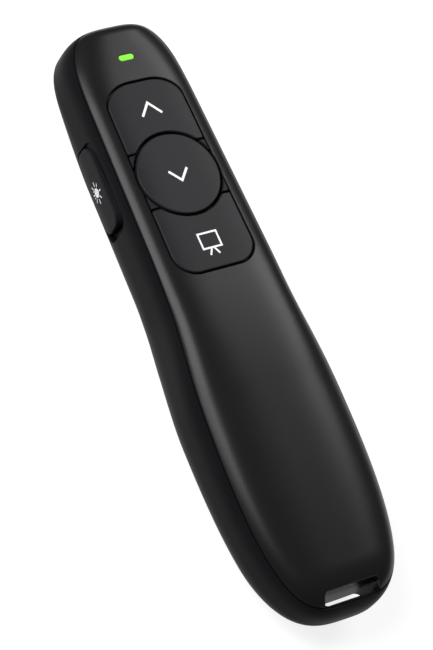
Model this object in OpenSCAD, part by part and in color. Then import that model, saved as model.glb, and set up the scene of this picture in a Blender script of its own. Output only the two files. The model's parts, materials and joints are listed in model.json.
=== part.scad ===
// Wireless presentation clicker, in millimetres.
// +Y points to the nose, +X to the right and +Z up, with the key face on top.
// The origin is under the middle of the case, on the surface that it rests on.

/* [Case size] */
// Length of the case from nose to tail
case_l = 140.8; // [138:0.2:144]
// Height of the key face above the table
case_h = 24.5; // [24:0.1:26]
// Thickness of the head from the key face to its underside
head_h = 22.5; // [21.8:0.1:23]
// Width of the head at the centre of the keys
head_w = 29.4; // [29:0.1:31]
// Half width that the sides gain per millimetre toward the tail
head_taper = 0.03; // [0.02:0.005:0.04]
// Half width that the grip adds to the head
grip_gain = 1.9; // [1.5:0.1:2.5]
// Depth of the flat on the underside, measured into the round belly
foot_cut = 0.3; // [0.2:0.05:0.4]

/* [Case curves] */
// Distance from the nose to the centre of the keys
keys_from_nose = 39.1; // [38:0.1:40]
// Distance from the centre of the keys to the start of the waist
waist_from_keys = 27.7; // [27:0.1:29]
// Length over which the waist widens into the grip
waist_l = 27.2; // [24:0.2:30]
// Distance from the centre of the keys to the start of the falling top
fall_from_keys = 26.6; // [26:0.1:28]
// Length over which the top bends down
fall_bend = 22.9; // [20:0.1:26]
// Slope of the falling top
fall_slope = 0.07; // [0.06:0.005:0.08]
// Distance from the battery bay to where the belly has its full depth
belly_lead = 0.2; // [0:0.1:0.6]
// Length over which the belly drops to the table
belly_l = 18; // [17:0.5:20]
// Share of the thickness that lies above the widest line
upper_share = 0.453; // [0.44:0.001:0.47]
// Squareness of the top at the nose
nose_power = 3.3; // [3:0.1:3.6]
// Squareness of the top at the keys
head_power = 5; // [4.6:0.1:5.4]
// Squareness of the top at the grip
grip_power = 3.7; // [3.4:0.1:4]
// Squareness of the underside
belly_power = 2.5; // [2.3:0.1:2.8]
// Length and squareness of the nose seen from above
nose_plan = [14.3, 3.2];
// Length and squareness of the nose edge above the widest line
nose_upper = [4.1, 3.3];
// Length and squareness of the nose below the widest line
nose_lower = [30.7, 1.5];
// Length and squareness of the tail seen from above
tail_plan = [56.3, 3.1];
// Length and squareness of the tail above the widest line
tail_upper = [10.1, 2.4];
// Length and squareness of the tail below the widest line
tail_lower = [18, 1.75];

/* [Shells] */
// Thickness of the case walls
wall = 1.8; // [1.7:0.05:1.9]
// Depth of the seam below the key face at the head
seam_drop = 1.95; // [1.9:0.05:2.1]
// Distance from the centre of the keys to the start of the falling seam
seam_from_keys = 15.2; // [14:0.1:17]
// Length over which the seam bends down
seam_bend = 18.3; // [16:0.1:20]
// Slope of the falling seam
seam_slope = 0.076; // [0.07:0.001:0.08]
// Groove between the two halves of the case
seam_gap = 0.3; // [0.2:0.05:0.4]
// Half width of the well under the keys
well_half_w = 11.3; // [11.1:0.1:11.5]
// Radius of the corners of the well at the nose
well_nose_r = 8; // [7.6:0.1:8.4]
// Radius of the corners of the well toward the tail
well_tail_r = 4; // [3.5:0.1:5]
// Rim left between the well and the nose
well_rim = 3.6; // [3.4:0.1:4]
// Clearance between the well and the key frame's tail end
well_clear = 0.8; // [0.5:0.1:1]
// Depth of the well below the key face
well_depth = 7; // [6.4:0.1:7.1]

/* [Keys] */
// Width of the key opening at the centre of the keys
pad_w = 20.1; // [19.8:0.1:20.3]
// Half width that the key opening gains per millimetre toward the tail
pad_taper = 0.0185; // [0.01:0.0005:0.025]
// Length of the key opening
pad_l = 47.2; // [46:0.1:48]
// Width and length of the corner curves at the upper end of the opening
pad_nose_corner = [7.4, 6];
// Radius of the corners at the lower end of the opening
pad_tail_r = 5.6; // [5:0.1:6]
// Groove between a key and the cover
key_gap = 0.4; // [0.3:0.05:0.5]
// Radius of the round key
round_r = 9.7; // [9.5:0.05:9.8]
// Groove round the round key
round_gap = 0.6; // [0.5:0.05:0.7]
// Distance from the centre line to the far edge of a frame wedge
wedge_y = 6.5; // [6:0.1:7]
// Thickness of a key cap
cap_t = 2.2; // [2.1:0.05:2.4]
// Thickness of the flange that keeps a key in
flange_t = 0.8; // [0.7:0.05:0.9]
// Reach of the flange beyond the key cap
flange_reach = 0.9; // [0.7:0.05:1]
// Travel of the keys
key_travel = 0.6; // [0.4:0.05:0.7]
// Clearance that a pressed key keeps
key_clear = 0.2; // [0.15:0.05:0.3]
// Radius of the plungers under the keys
plunger_r = 2; // [1.6:0.1:2.2]
// Length of the plungers
plunger_l = 2.2; // [2.1:0.1:2.4]

/* [Key frame] */
// Thickness of the frame plate
frame_t = 1; // [0.8:0.05:1.1]
// Width of the frame plate
frame_w = 21.4; // [21:0.1:21.6]
// Edge of the frame beyond its stake holes
frame_edge = 0.7; // [0.6:0.05:0.9]
// Clearance between a plunger and its hole in the frame
plunger_clear = 0.5; // [0.4:0.05:0.7]
// Radius of the frame's corners
frame_corner_r = 5; // [4:0.2:6]
// Distance of the frame stakes from the centre line
stake_x = 6.5; // [6:0.1:7]
// Clearance between the key flanges and the stakes' shoulders
stake_clear = 0.3; // [0.25:0.05:0.5]
// Radius of the frame stakes
stake_r = 0.9; // [0.7:0.05:1]
// Width of the shoulder round a frame stake
stake_shoulder = 0.6; // [0.4:0.05:0.7]

/* [Indicator] */
// Clearance between the key frame and the indicator's flange
lens_clear = 0.85; // [0.6:0.05:1]
// Length of the indicator lens across the case
lens_w = 3.7; // [3.2:0.1:4]
// Width of the indicator lens
lens_t = 1.4; // [1.2:0.1:1.5]
// Height of the lens flange under the cover
lens_flange_t = 0.8; // [0.6:0.1:1]
// Reach of the lens flange at its ends and at its sides
lens_reach = [0.7, 0.45];
// Gap between the light chip and the lens
led_gap = 0.3; // [0.2:0.05:0.5]
// Width, length and height of the light chip
led_size = [1.6, 0.8, 0.6];

/* [Circuit board] */
// Thickness of the circuit board
board_t = 1.2; // [1:0.1:1.4]
// Width of the circuit board
board_w = 20; // [19:0.2:20.4]
// Edge of the board beyond the centre of the indicator
board_edge = 0.7; // [0.6:0.1:1]
// Clearance round the board and its slots
board_clear = 0.15; // [0.1:0.05:0.3]
// Width of a key switch
switch_w = 6.2; // [5.8:0.1:6.4]
// Height of a key switch
switch_h = 1.8; // [1.6:0.1:2]
// Radius of a switch stem
stem_r = 1.6; // [1.3:0.05:1.8]
// Height of a switch stem above its switch
stem_proud = 0.8; // [0.75:0.05:0.9]
// Depth of a stem's foot inside its switch
stem_foot = 0.5; // [0.4:0.05:0.6]
// Running clearance between a stem and its switch
stem_clear = 0.15; // [0.1:0.05:0.2]
// Width, length and height of the radio chip
chip_size = [5, 5, 0.9];
// Place of the radio chip from the centre of the keys
chip_place = [-3.6, 23.4];
// Width, length and height of the crystal
crystal_size = [3.2, 2.5, 0.8];
// Place of the crystal from the centre of the keys
crystal_place = [4, 23.4];
// Radius of the posts that carry the board
post_r = 1.8; // [1.6:0.1:2]
// Distance of the posts from the centre line
post_x = 7.6; // [7:0.1:8]
// Distance from the centre of the keys to the posts near the nose
post_nose = 22; // [21:0.5:23]
// Distance from the board's tail end to the other posts
post_tail = 8.35; // [7:0.05:9]

/* [Pointer button] */
// Distance from the centre of the keys to the middle of the side switch, toward the nose
side_y = 3.4; // [3:0.1:4]
// Depth of the slide knob's centre below the key face
side_depth = 8.8; // [8.6:0.1:9.2]
// Length of the side button
side_l = 19.6; // [19:0.2:20.4]
// Height of the side button
side_h = 7.9; // [7.5:0.1:8.1]
// Corner radius of the side button
side_corner_r = 2.8; // [2.5:0.1:3.2]
// Place of the side button's centre on the wall, toward the nose and down
side_shift = [1.3, 2.15]; // [1:0.05:2.3]
// Gap round the side button
side_gap = 0.3; // [0.25:0.05:0.4]
// Reach of the finger scoop past the side button, above it and behind it
scoop_reach = [2.2, 1.9]; // [1.5:0.1:2.3]
// Depth of the finger scoop
scoop_depth = 1.2; // [1:0.05:1.25]
// Stand of the side button out of the wall
side_proud = 0.1; // [0.05:0.05:0.2]
// Thickness of the side button's cap
side_cap_t = 2.1; // [2.05:0.05:2.2]
// Thickness of the side button's flange
side_flange_t = 0.8; // [0.7:0.05:0.9]
// Reach of the side button's flange
side_reach = 0.9; // [0.8:0.05:1]
// Depth of the flat pockets behind the side walls
side_pocket = 3; // [2.6:0.1:3.2]
// Width of the side switch
side_switch_w = 6; // [5.6:0.1:6.4]
// Height of the side switch under the board
side_switch_h = 3.4; // [3.2:0.1:3.6]
// Depth of the side switch into the case
side_switch_d = 3.5; // [3.2:0.1:3.8]
// Inset of the side switch from the board's edge
side_switch_inset = 0.4; // [0.3:0.1:0.5]
// Radius of the side switch's stem
side_stem_r = 1; // [0.8:0.05:1.1]
// Length of the side switch's stem outside the switch
side_stem_proud = 1.3; // [1.1:0.1:1.5]
// Radius of the side button's plunger
side_rod_r = 1.5; // [1.2:0.1:1.6]

/* [Laser pointer] */
// Radius of the laser barrel
barrel_r = 2.5; // [2.3:0.05:2.6]
// Length of the laser barrel
barrel_l = 13; // [12:0.2:13.4]
// Distance from the centre of the keys to the barrel's front end
barrel_front = 30; // [29.5:0.1:30.2]
// Clearance between the laser barrel and the board
barrel_drop = 0.3; // [0.2:0.1:0.4]
// Wall of the laser barrel
barrel_wall = 0.7; // [0.6:0.05:0.8]
// Thickness of the laser lens
lens_disc_t = 1.4; // [1:0.1:1.6]
// Length of the laser diode's can
diode_l = 3.5; // [3:0.1:4]
// Radius of the diode's legs
diode_leg_r = 0.25; // [0.2:0.05:0.3]
// Length of the diode's legs
diode_leg_l = 3; // [2.5:0.1:3.5]
// Distance that the legs stay below the board's upper face
leg_short = 0.2; // [0.1:0.05:0.3]
// Radius of the window in the nose
window_r = 1.8; // [1.6:0.05:1.9]
// Thickness of the window in the nose
window_t = 1; // [0.8:0.05:1.2]
// Depth of the window's face behind the nose skin
window_inset = 0.3; // [0.2:0.05:0.5]
// Ledge that the window sits on
window_ledge = 0.5; // [0.4:0.05:0.6]

/* [Power switch] */
// Length of the switch knob along the case
knob_l = 7; // [6.5:0.1:7.5]
// Height of the switch knob
knob_h = 3; // [2.8:0.1:3.2]
// Travel of the switch knob
knob_travel = 2; // [1.5:0.1:2.2]
// Clearance round the switch knob
knob_gap = 0.25; // [0.2:0.05:0.3]
// Stand of the switch knob out of the wall
knob_proud = 0.4; // [0.2:0.1:0.6]
// Thickness of the knob's flange behind the wall
knob_flange_t = 0.7; // [0.6:0.05:0.8]
// Reach of the knob's flange
knob_reach = 1; // [0.8:0.05:1.1]
// Depth of the lever's end in the knob
lever_bite = 0.4; // [0.3:0.05:0.5]
// Number of grip ribs on the knob
knob_ribs = 5; // [3:1:6]
// Width of a grip rib
knob_rib_w = 0.6; // [0.5:0.05:0.8]
// Length of the slide switch body
slide_body_l = 8.6; // [8.2:0.1:9]
// Width of the slide switch's lever
lever_w = 1.6; // [1.4:0.1:1.8]
// Depth of the lever's foot inside the slide switch
lever_foot = 1.1; // [0.9:0.1:1.2]
// Depth of the lever's track in the slide switch
lever_track = 1.4; // [1.3:0.1:1.5]
// Height and depth of the slide switch body
slide_body_h = 3.4; // [3.2:0.1:3.6]
slide_body_d = 3.6; // [3.4:0.1:3.8]

/* [Batteries] */
// Radius of a battery
cell_r = 5.25; // [5.2:0.05:5.25]
// Length of a battery with its button
cell_l = 44.5; // [44:0.1:44.5]
// Radius of the battery's button
button_r = 1.9; // [1.7:0.1:2]
// Height of the battery's button
button_h = 0.8; // [0.8:0.1:1]
// Gap between the two batteries
cell_gap = 0.6; // [0.5:0.1:0.8]
// Clearance round the batteries
bay_clear = 0.55; // [0.5:0.05:0.6]
// Thickness of the battery bay's roof and ribs
bay_t = 1.2; // [1:0.1:1.4]
// Distance from the tail end to the battery bay
bay_from_tail = 13.3; // [13.2:0.1:13.8]
// Width of the contact tabs
tab_w = 2.5; // [2:0.1:3]
// Distance of the contact tabs in front of the battery bay's wall
tab_stand = 1.5; // [1.2:0.1:2]
// Edge of a contact plate beyond the spring
plate_edge = 0.6; // [0.4:0.1:0.7]
// Thickness of the contact plates
plate_t = 0.4; // [0.3:0.05:0.5]
// Compressed length of a battery spring
spring_l = 5.1; // [5:0.1:5.4]
// Outer radius of a spring at its wide end
spring_r = 3.3; // [3:0.1:3.6]
// Outer radius of a spring at its narrow end
spring_tip_r = 2.2; // [2:0.1:2.4]
// Radius of the spring wire
wire_r = 0.3; // [0.25:0.05:0.35]
// Turns of a spring
spring_turns = 4; // [3:1:5]

/* [Battery door] */
// Thickness of the battery door
door_t = 1.6; // [1.5:0.05:1.7]
// Gap round the battery door
door_gap = 0.2; // [0.15:0.05:0.25]
// Width of the door opening
door_w = 25; // [24.6:0.1:25.4]
// Reach of the door opening beyond the bay at each end
door_reach = 1.1; // [1:0.1:1.2]
// Radius of the door's corners
door_r = 3; // [2.5:0.1:3.4]
// Width of the door's hinge tab
hook_w = 5; // [4:0.1:5.2]
// Thickness of the hinge tab
hook_t = 1; // [0.9:0.05:1.1]
// Thickness of the web that carries the hinge tab
hook_web = 1; // [0.8:0.05:1.1]
// Reach of the hinge tab past the opening
hook_reach = 1.3; // [1.1:0.05:1.4]
// Room above the hinge tab for its swing
hook_swing = 1.2; // [1:0.05:1.4]
// Height of the latch tongue above the door's inner face
tongue_h = 2.6; // [2.2:0.1:3]
// Thickness of the latch tongue
tongue_t = 0.6; // [0.5:0.05:0.7]
// Width of the latch tongue
tongue_w = 8; // [7:0.2:9]

/* [Receiver] */
// Width of the receiver
receiver_w = 15; // [14.6:0.1:15]
// Height of the receiver
receiver_h = 6; // [5.8:0.1:6.2]
// Length of the receiver's grip
receiver_l = 7; // [6.6:0.1:7.2]
// Radius of the receiver's corners
receiver_r = 1.2; // [0.8:0.1:1.6]
// Thickness of the contact block in the USB plug
plug_block = 1.9; // [1.8:0.05:2]
// Radius of the notch for a fingernail
notch_r = 4; // [3.5:0.1:4.5]
// Width of the USB plug
plug_w = 12; // [12:0.1:12.1]
// Height of the USB plug
plug_h = 4.5; // [4.5:0.05:4.6]
// Length of the USB plug
plug_l = 12; // [11.8:0.1:12.2]
// Wall of the USB plug
plug_wall = 0.35; // [0.3:0.05:0.4]
// Clearance round the receiver
receiver_clear = 0.4; // [0.3:0.05:0.5]
// Distance from the centre of the keys to the receiver's grip end
receiver_from_keys = 7.8; // [7.6:0.1:8]
// Height of the receiver's face above the head's underside
receiver_inset = 1.1; // [1:0.1:1.3]

/* [Screws] */
// Radius of the screw shanks
screw_r = 0.95; // [0.9:0.05:1]
// Radius of the screw heads
screw_head_r = 1.9; // [1.8:0.05:1.9]
// Height of the screw heads
screw_head_h = 1.4; // [1.2:0.1:1.5]
// Length that a screw bites into the cover
screw_bite = 3; // [2.5:0.1:3.2]
// Radius of the screw bosses in the cover
boss_r = 1.9; // [1.8:0.05:2]
// Wall of the screw bosses in the case, round the screw heads
case_boss_wall = 0.6; // [0.5:0.05:0.7]
// Wall under a screw head
screw_seat_t = 2.2; // [2:0.1:2.5]
// Play of a screw in the case
screw_play = 0.15; // [0.1:0.05:0.2]
// Depth of the meeting faces of the screw bosses below the seam
boss_drop = 5.25; // [5:0.05:5.4]
// Distance of the nose screws from the centre line and from the nose end
nose_screw = [6, 6.7];
// Distance of the tail screws from the centre line and from the tail end
tail_screw = [8, 8.7];

/* [Lanyard slot] */
// Width of the lanyard slot
slot_w = 13.8; // [13:0.1:14.2]
// Distance from the tail end to the slot
slot_from_tail = 2.5; // [2.4:0.1:2.6]
// Length of the slot at its mouth
slot_l = 2.5; // [2.3:0.1:2.7]
// Radius of the slot's corners
slot_r = 1.2; // [1:0.05:1.2]
// Forward lean of the slot's front wall at the underside
slot_draft = 1.2; // [1:0.05:1.4]
// Widening of the slot at each end toward the underside
slot_flare = 2.4; // [2:0.1:2.6]
// Wall round the slot
slot_wall = 1.2; // [1:0.1:1.4]

/* [Hidden] */

// Points round one section and stations along the case, for the skin and for hidden surfaces
skin_grid = [44, 44];
core_grid = [28, 32];
curve_fn = 48;
eps = 0.01;
far = 60;

nose_y = case_l / 2;
tail_y = -case_l / 2;
key_y = nose_y - keys_from_nose;
under_z = case_h - head_h;
bay_l = cell_l + spring_l + 2 * plate_t;
bay_end = tail_y + bay_from_tail;
bay_front = bay_end + bay_l;

// Distances from the centre of the keys
stake_y = pad_l / 2 - key_gap + flange_reach + stake_clear + stake_shoulder + stake_r;
frame_l = 2 * (stake_y + stake_r + frame_edge);
lens_from_keys = frame_l / 2 + lens_clear + lens_t / 2 + lens_reach[1];
board_nose = lens_from_keys + board_edge;

// Depth below the key face of each level under the keys
flange_top = cap_t;
flange_low = cap_t + flange_t;
frame_top = flange_low + key_travel + key_clear;
stem_top = flange_low + plunger_l;
switch_top = stem_top + stem_proud;
board_top = switch_top + switch_h;
board_z = case_h - board_top;
board_low = board_z - board_t;

up_at = [0, 15];
down_at = [0, 0];
screen_at = [0, -15];

// ---- Curves of the case ----

function ramp(s, bend) = s <= 0 ? 0 : s < bend ? s * s / (2 * bend) : s - bend / 2;
function smooth(u) = let (c = min(max(u, 0), 1)) c * c * (3 - 2 * c);
function signed_pow(v, p) = sign(v) * pow(abs(v), p);
function end_cap(d, shape) =
    d >= shape[0] ? 1 : d <= 0 ? 0 : pow(1 - pow(1 - d / shape[0], shape[1]), 1 / shape[1]);
function both_caps(y, inset, nose, tail) =
    end_cap(nose_y - inset - y, nose) * end_cap(y - tail_y - inset, tail);

function waist(y) = smooth((key_y - waist_from_keys - y) / waist_l);
function half_w(y) = head_w / 2 - head_taper * (y - key_y) + grip_gain * waist(y);
function top_z(y) = case_h - fall_slope * ramp(key_y - fall_from_keys - y, fall_bend);
function low_z(y) =
    under_z - (under_z + foot_cut) * smooth((bay_front + belly_lead + belly_l - y) / belly_l);
function mid_z(y) = top_z(y) - upper_share * (top_z(y) - low_z(y));
function seam_z(y) = case_h - seam_drop - seam_slope * ramp(key_y - seam_from_keys - y, seam_bend);
function top_power(y) =
    head_power + (grip_power - head_power) * waist(y)
    + (nose_power - head_power) * smooth((y - key_y - keys_from_nose / 2) / (keys_from_nose / 2));

// Half width and heights of the section at y, of a body inset from the skin
function plan_w(y, inset) = (half_w(y) - inset) * both_caps(y, inset, nose_plan, tail_plan);
function upper_h(y, inset) =
    (top_z(y) - mid_z(y) - inset) * both_caps(y, inset, nose_upper, tail_upper);
function lower_h(y, inset) =
    (mid_z(y) - low_z(y) - inset) * both_caps(y, inset, nose_lower, tail_lower);
function section_point(y, a, inset) =
    let (up = sin(a) > 0, p = 2 / (up ? top_power(y) : belly_power))
    [plan_w(y, inset) * signed_pow(cos(a), p), y,
     mid_z(y) + (up ? upper_h(y, inset) : lower_h(y, inset)) * signed_pow(sin(a), p)];
// Half width of the skin at the height of the pointer button
function side_wall_x(y) = plan_w(y, 0);
// Height of the skin's underside at a place in plan
function belly_z(x, y) =
    mid_z(y) - lower_h(y, 0) * pow(1 - pow(abs(x) / plan_w(y, 0), belly_power), 1 / belly_power);

// Station i of n along a body, closer together toward both ends
function station(i, n, inset) =
    let (a = 180 * i / n) (nose_y - inset) * (0.8 * cos(a) + 0.2 * (1 - 2 * i / n));

// The whole case, inset from its skin, as one closed surface
module body(inset, grid) {
    n = grid[0];
    m = grid[1];
    rings = [for (i = [1:n - 1]) for (j = [0:m - 1])
             section_point(station(i, n, inset), 360 * j / m, inset)];
    nose = [0, nose_y - inset, mid_z(nose_y - inset)];
    tail = [0, tail_y + inset, mid_z(tail_y + inset)];
    last = (n - 2) * m;
    end = (n - 1) * m + 1;
    polyhedron(
        points = concat([nose], rings, [tail]),
        faces = concat(
            [for (j = [0:m - 1]) [0, 1 + j, 1 + (j + 1) % m]],
            [for (i = [0:n - 3]) for (j = [0:m - 1])
             [1 + i * m + j, 1 + (i + 1) * m + j, 1 + i * m + (j + 1) % m]],
            [for (i = [0:n - 3]) for (j = [0:m - 1])
             [1 + (i + 1) * m + j, 1 + (i + 1) * m + (j + 1) % m, 1 + i * m + (j + 1) % m]],
            [for (j = [0:m - 1]) [end, 1 + last + (j + 1) % m, 1 + last + j]]));
}

// Everything above the seam, raised by lift
module above_seam(lift) {
    bend_start = key_y - seam_from_keys;
    line = concat([far + nose_y], [for (i = [0:8]) bend_start - seam_bend * i / 8], [tail_y - far]);
    rotate([90, 0, 90])
        translate([0, 0, -far])
        linear_extrude(2 * far)
        polygon(concat([for (y = line) [y, seam_z(y) + lift]], [[tail_y - far, far + case_h],
                                                               [far + nose_y, far + case_h]]));
}

// Everything below the table
module below_table() {
    translate([-far, tail_y - far, -far]) cube([2 * far, case_l + 2 * far, far]);
}

// ---- Helpers ----

// Puts its children in plan at a place from the centre of the keys, at a depth below the key face
module at_keys(place, depth) {
    translate([place[0], key_y + place[1], case_h - depth]) children();
}

module stadium(l, w) {
    for (x = [-1, 1]) translate([x * (l - w) / 2, 0]) circle(d = w, $fn = curve_fn);
    square([l - w, w], center = true);
}

module round_rect(w, l, r) {
    square([w - 2 * r, l], center = true);
    square([w, l - 2 * r], center = true);
    for (x = [-1, 1]) for (y = [-1, 1])
        translate([x * (w / 2 - r), y * (l / 2 - r)]) circle(r = r, $fn = curve_fn);
}

module box_about(size, place, depth) {
    at_keys(place, depth) translate([-size[0] / 2, -size[1] / 2, 0]) cube(size);
}

// ---- Key opening ----

function pad_half_w(y) = pad_w / 2 - pad_taper * y;
arc_steps = 10;
function arc(centre, rx, ry, from) =
    [for (i = [0:arc_steps]) let (a = from + 90 * i / arc_steps)
     [centre[0] + rx * cos(a), centre[1] + ry * sin(a)]];
function mirrored(points) = [for (i = [len(points) - 1:-1:0]) [-points[i][0], points[i][1]]];

// The outline of the key opening, grown by g
module pad_shape(g) {
    rx = pad_nose_corner[0];
    ry = pad_nose_corner[1];
    upper = [pad_half_w(pad_l / 2 - ry) - rx, pad_l / 2 - ry];
    lower = [pad_half_w(pad_tail_r - pad_l / 2) - pad_tail_r, pad_tail_r - pad_l / 2];
    right = concat(arc(lower, pad_tail_r + g, pad_tail_r + g, -90), arc(upper, rx + g, ry + g, 0));
    polygon(concat(right, mirrored(right)));
}

module outer_key_shape(side, inset, gap) {
    difference() {
        intersection() {
            pad_shape(-inset);
            translate([-far, side > 0 ? wedge_y + key_gap : -far - wedge_y - key_gap])
                square([2 * far, far]);
        }
        circle(r = round_r + gap, $fn = 2 * curve_fn);
    }
}

module key_slab(depth, t) {
    at_keys([0, 0], depth + t) linear_extrude(t) children();
}

// A key above or below the round one
module outer_key(side, place) {
    key_slab(0, cap_t + eps) outer_key_shape(side, key_gap, round_gap);
    key_slab(flange_top, flange_t) outer_key_shape(side, key_gap - flange_reach, round_gap);
    plunger(place);
}

module plunger(place) {
    at_keys(place, stem_top) cylinder(r = plunger_r, h = plunger_l + eps, $fn = curve_fn);
}

// ---- Top cover ----

module top_cover() {
    color([0.1, 0.1, 0.11])
    difference() {
        union() {
            intersection() {
                difference() {
                    body(0, skin_grid);
                    body(wall, core_grid);
                }
                above_seam(seam_gap / 2);
            }
            cover_bosses();
            frame_stakes(stake_r + stake_shoulder, frame_top, wall / 2);
            frame_stakes(stake_r, frame_top + frame_t, wall / 2);
        }
        key_slab(-1, wall + 2) union() {
            pad_shape(0);
            circle(r = round_r + round_gap, $fn = 2 * curve_fn);
        }
        at_keys([0, lens_from_keys], wall + 1) linear_extrude(wall + 2)
            stadium(lens_w + eps, lens_t + eps);
        // The notch that the lanyard slot makes in the cover is open toward the tail
        translate([-slot_w / 2, tail_y - 1, 0]) cube([slot_w, slot_from_tail + slot_l + 1, case_h]);
        screw_places() translate([0, 0, -eps])
            cylinder(r = screw_r, h = screw_bite + eps, $fn = curve_fn);
    }
}

case_boss_r = screw_head_r + screw_play + case_boss_wall;

// Each pair of screws as a distance from the centre line and a place along the case
screw_pairs = [[nose_screw[0], nose_y - nose_screw[1]], [tail_screw[0], tail_y + tail_screw[1]]];
function boss_z(pair) = seam_z(pair[1]) - boss_drop;

// Puts its children at the meeting face of each pair of screw bosses
module screw_places() {
    for (pair = screw_pairs) for (x = [-1, 1])
        translate([x * pair[0], pair[1], boss_z(pair)]) children();
}

module cover_bosses() {
    for (pair = screw_pairs) for (x = [-1, 1])
        translate([x * pair[0], pair[1], boss_z(pair)])
            cylinder(r = boss_r, h = cover_boss_top(pair) - boss_z(pair), $fn = curve_fn);
}

// Height of the middle of the cover's wall over a screw
function cover_boss_top(pair) =
    let (y = pair[1], h = upper_h(y, wall / 2), w = plan_w(y, wall / 2))
    mid_z(y) + h * pow(1 - pow((pair[0] + boss_r / 2) / w, top_power(y)), 1 / top_power(y));

module frame_stakes(r, depth, up_to) {
    for (x = [-1, 1]) for (y = [-1, 1])
        at_keys([x * stake_x, y * stake_y], depth) cylinder(r = r, h = depth - up_to, $fn = curve_fn);
}

// ---- Bottom case ----

cell_x = cell_r + cell_gap / 2;
bay_half_w = 2 * cell_r + cell_gap / 2 + bay_clear;
cell_z = cell_r + bay_clear + door_t + belly_z(cell_x, bay_front - bay_l + plate_t);
bay_roof = cell_z + cell_r + bay_clear;
rib_t = door_w / 2 - bay_half_w + bay_t;
door_front = bay_front + door_reach;
door_l = bay_l + 2 * door_reach;
slot_y = tail_y + slot_from_tail;
rib_w = 1.1;
receiver_y = key_y + receiver_from_keys;
receiver_z = under_z + receiver_inset;
receiver_all = receiver_l + plug_l;

module bottom_case() {
    color([0.08, 0.08, 0.09])
    difference() {
        union() {
            difference() {
                body(0, skin_grid);
                body(wall, core_grid);
            }
            intersection() {
                body(wall / 2, core_grid);
                inner_walls();
            }
        }
        above_seam(-seam_gap / 2);
        below_table();
        key_well();
        bay_space();
        difference() {
            door_prism(0);
            body(door_t + door_gap, core_grid);
        }
        latch_pockets();
        receiver_space();
        side_button_hole();
        knob_hole();
        window_bore();
        screw_holes();
        lanyard_hole();
    }
}

module inner_walls() {
    // Bay walls, with ledges for the door
    translate([-bay_half_w - rib_t, bay_front - bay_l - rib_t, 0])
        cube([2 * (bay_half_w + rib_t), bay_l + 2 * rib_t, bay_roof + bay_t]);
    // Receiver bay
    translate([-receiver_w / 2 - receiver_clear - bay_t,
               receiver_y - receiver_all - receiver_clear - bay_t, 0])
        cube([receiver_w + 2 * receiver_clear + 2 * bay_t,
              receiver_all + 2 * receiver_clear + 2 * bay_t,
              receiver_z + receiver_h + receiver_clear + bay_t]);
    // Posts under the board
    for (x = [-1, 1]) for (y = [key_y + post_nose, board_tail_y + post_tail])
        translate([x * post_x, y, 0]) cylinder(r = post_r, h = board_low, $fn = curve_fn);
    // Screw bosses
    for (pair = screw_pairs) for (x = [-1, 1])
        translate([x * pair[0], pair[1], 0])
            cylinder(r = case_boss_r, h = boss_z(pair), $fn = curve_fn);
    // Cradle of the laser barrel
    for (y = [barrel_front - 2 * rib_w, barrel_front - barrel_l + rib_w])
        translate([-barrel_r - rib_w, key_y + y, 0])
            cube([2 * (barrel_r + rib_w), rib_w, barrel_z()]);
    // Collar behind the nose window
    toward_nose(window_y() - rib_w) cylinder(r = window_r + rib_w, h = far, $fn = curve_fn);
    // Tube round the lanyard slot
    slot_tube(tube_top_z, case_h, slot_share(tube_top_z));
    slot_tube(0, tube_top_z, 1);
}

function barrel_z() = board_low - barrel_drop - barrel_r;

// Height under which the wall round the slot clears the cover's tail bosses
tube_top_z = boss_z(screw_pairs[1]) - rib_w;
// Share of the slot's draft that is reached at a height
function slot_share(z) = min(max((slot_top_z() - z) / slot_top_z(), 0), 1);
function slot_top_z() = seam_z(slot_y);

module slot_tube(low, high, share) {
    w = slot_w / 2 + slot_wall + slot_flare * share;
    translate([-w, tail_y, low])
        cube([2 * w, slot_from_tail + slot_l + slot_draft * share + slot_wall, high - low]);
}

// Room for the keys and their frame inside the rim
module key_well() {
    well_l = keys_from_nose - well_rim;
    tail_l = frame_l / 2 + well_clear;
    at_keys([0, 0], well_depth) linear_extrude(far) {
        for (x = [-1, 1]) translate([x * (well_half_w - well_nose_r), well_l - well_nose_r])
            circle(r = well_nose_r, $fn = curve_fn);
        for (x = [-1, 1]) translate([x * (well_half_w - well_tail_r), well_tail_r - tail_l])
            circle(r = well_tail_r, $fn = curve_fn);
        translate([-well_half_w, well_tail_r - tail_l])
            square([2 * well_half_w, tail_l - well_tail_r + well_l - well_nose_r]);
        translate([well_nose_r - well_half_w, 0])
            square([2 * (well_half_w - well_nose_r), well_l]);
        translate([well_tail_r - well_half_w, -tail_l])
            square([2 * (well_half_w - well_tail_r), tail_l]);
    }
}

module bay_space() {
    translate([-bay_half_w, bay_front - bay_l, -1]) cube([2 * bay_half_w, bay_l, bay_roof + 1]);
    // Slits for the contact tabs
    for (x = [-1, 1]) contact_tab(x, board_clear);
}

module door_prism(inset) {
    translate([0, door_front - door_l / 2, -1])
        linear_extrude(bay_roof)
        round_rect(door_w - 2 * inset, door_l - 2 * inset, door_r - inset);
}

// Height of the hinge tab's underside
hook_z = door_t + 2 * door_gap;

module latch_pockets() {
    // Pocket for the hinge tab
    translate([-hook_w / 2 - door_gap, bay_front - eps, hook_z - door_gap])
        cube([hook_w + 2 * door_gap, door_reach + hook_reach + 2 * door_gap,
              hook_t + door_gap + hook_swing]);
    // Room for the tab to swing round the door's front edge
    translate([-hook_w / 2 - door_gap, bay_front - eps, 0])
        cube([hook_w + 2 * door_gap, door_reach + 2 * eps, hook_z]);
    // Notch for the latch tongue
    translate([-tongue_w / 2 - door_gap, bay_end - door_reach - door_gap, 0])
        cube([tongue_w + 2 * door_gap, door_reach + door_gap + eps,
              door_t + tongue_h + 2 * door_gap]);
}

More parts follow.
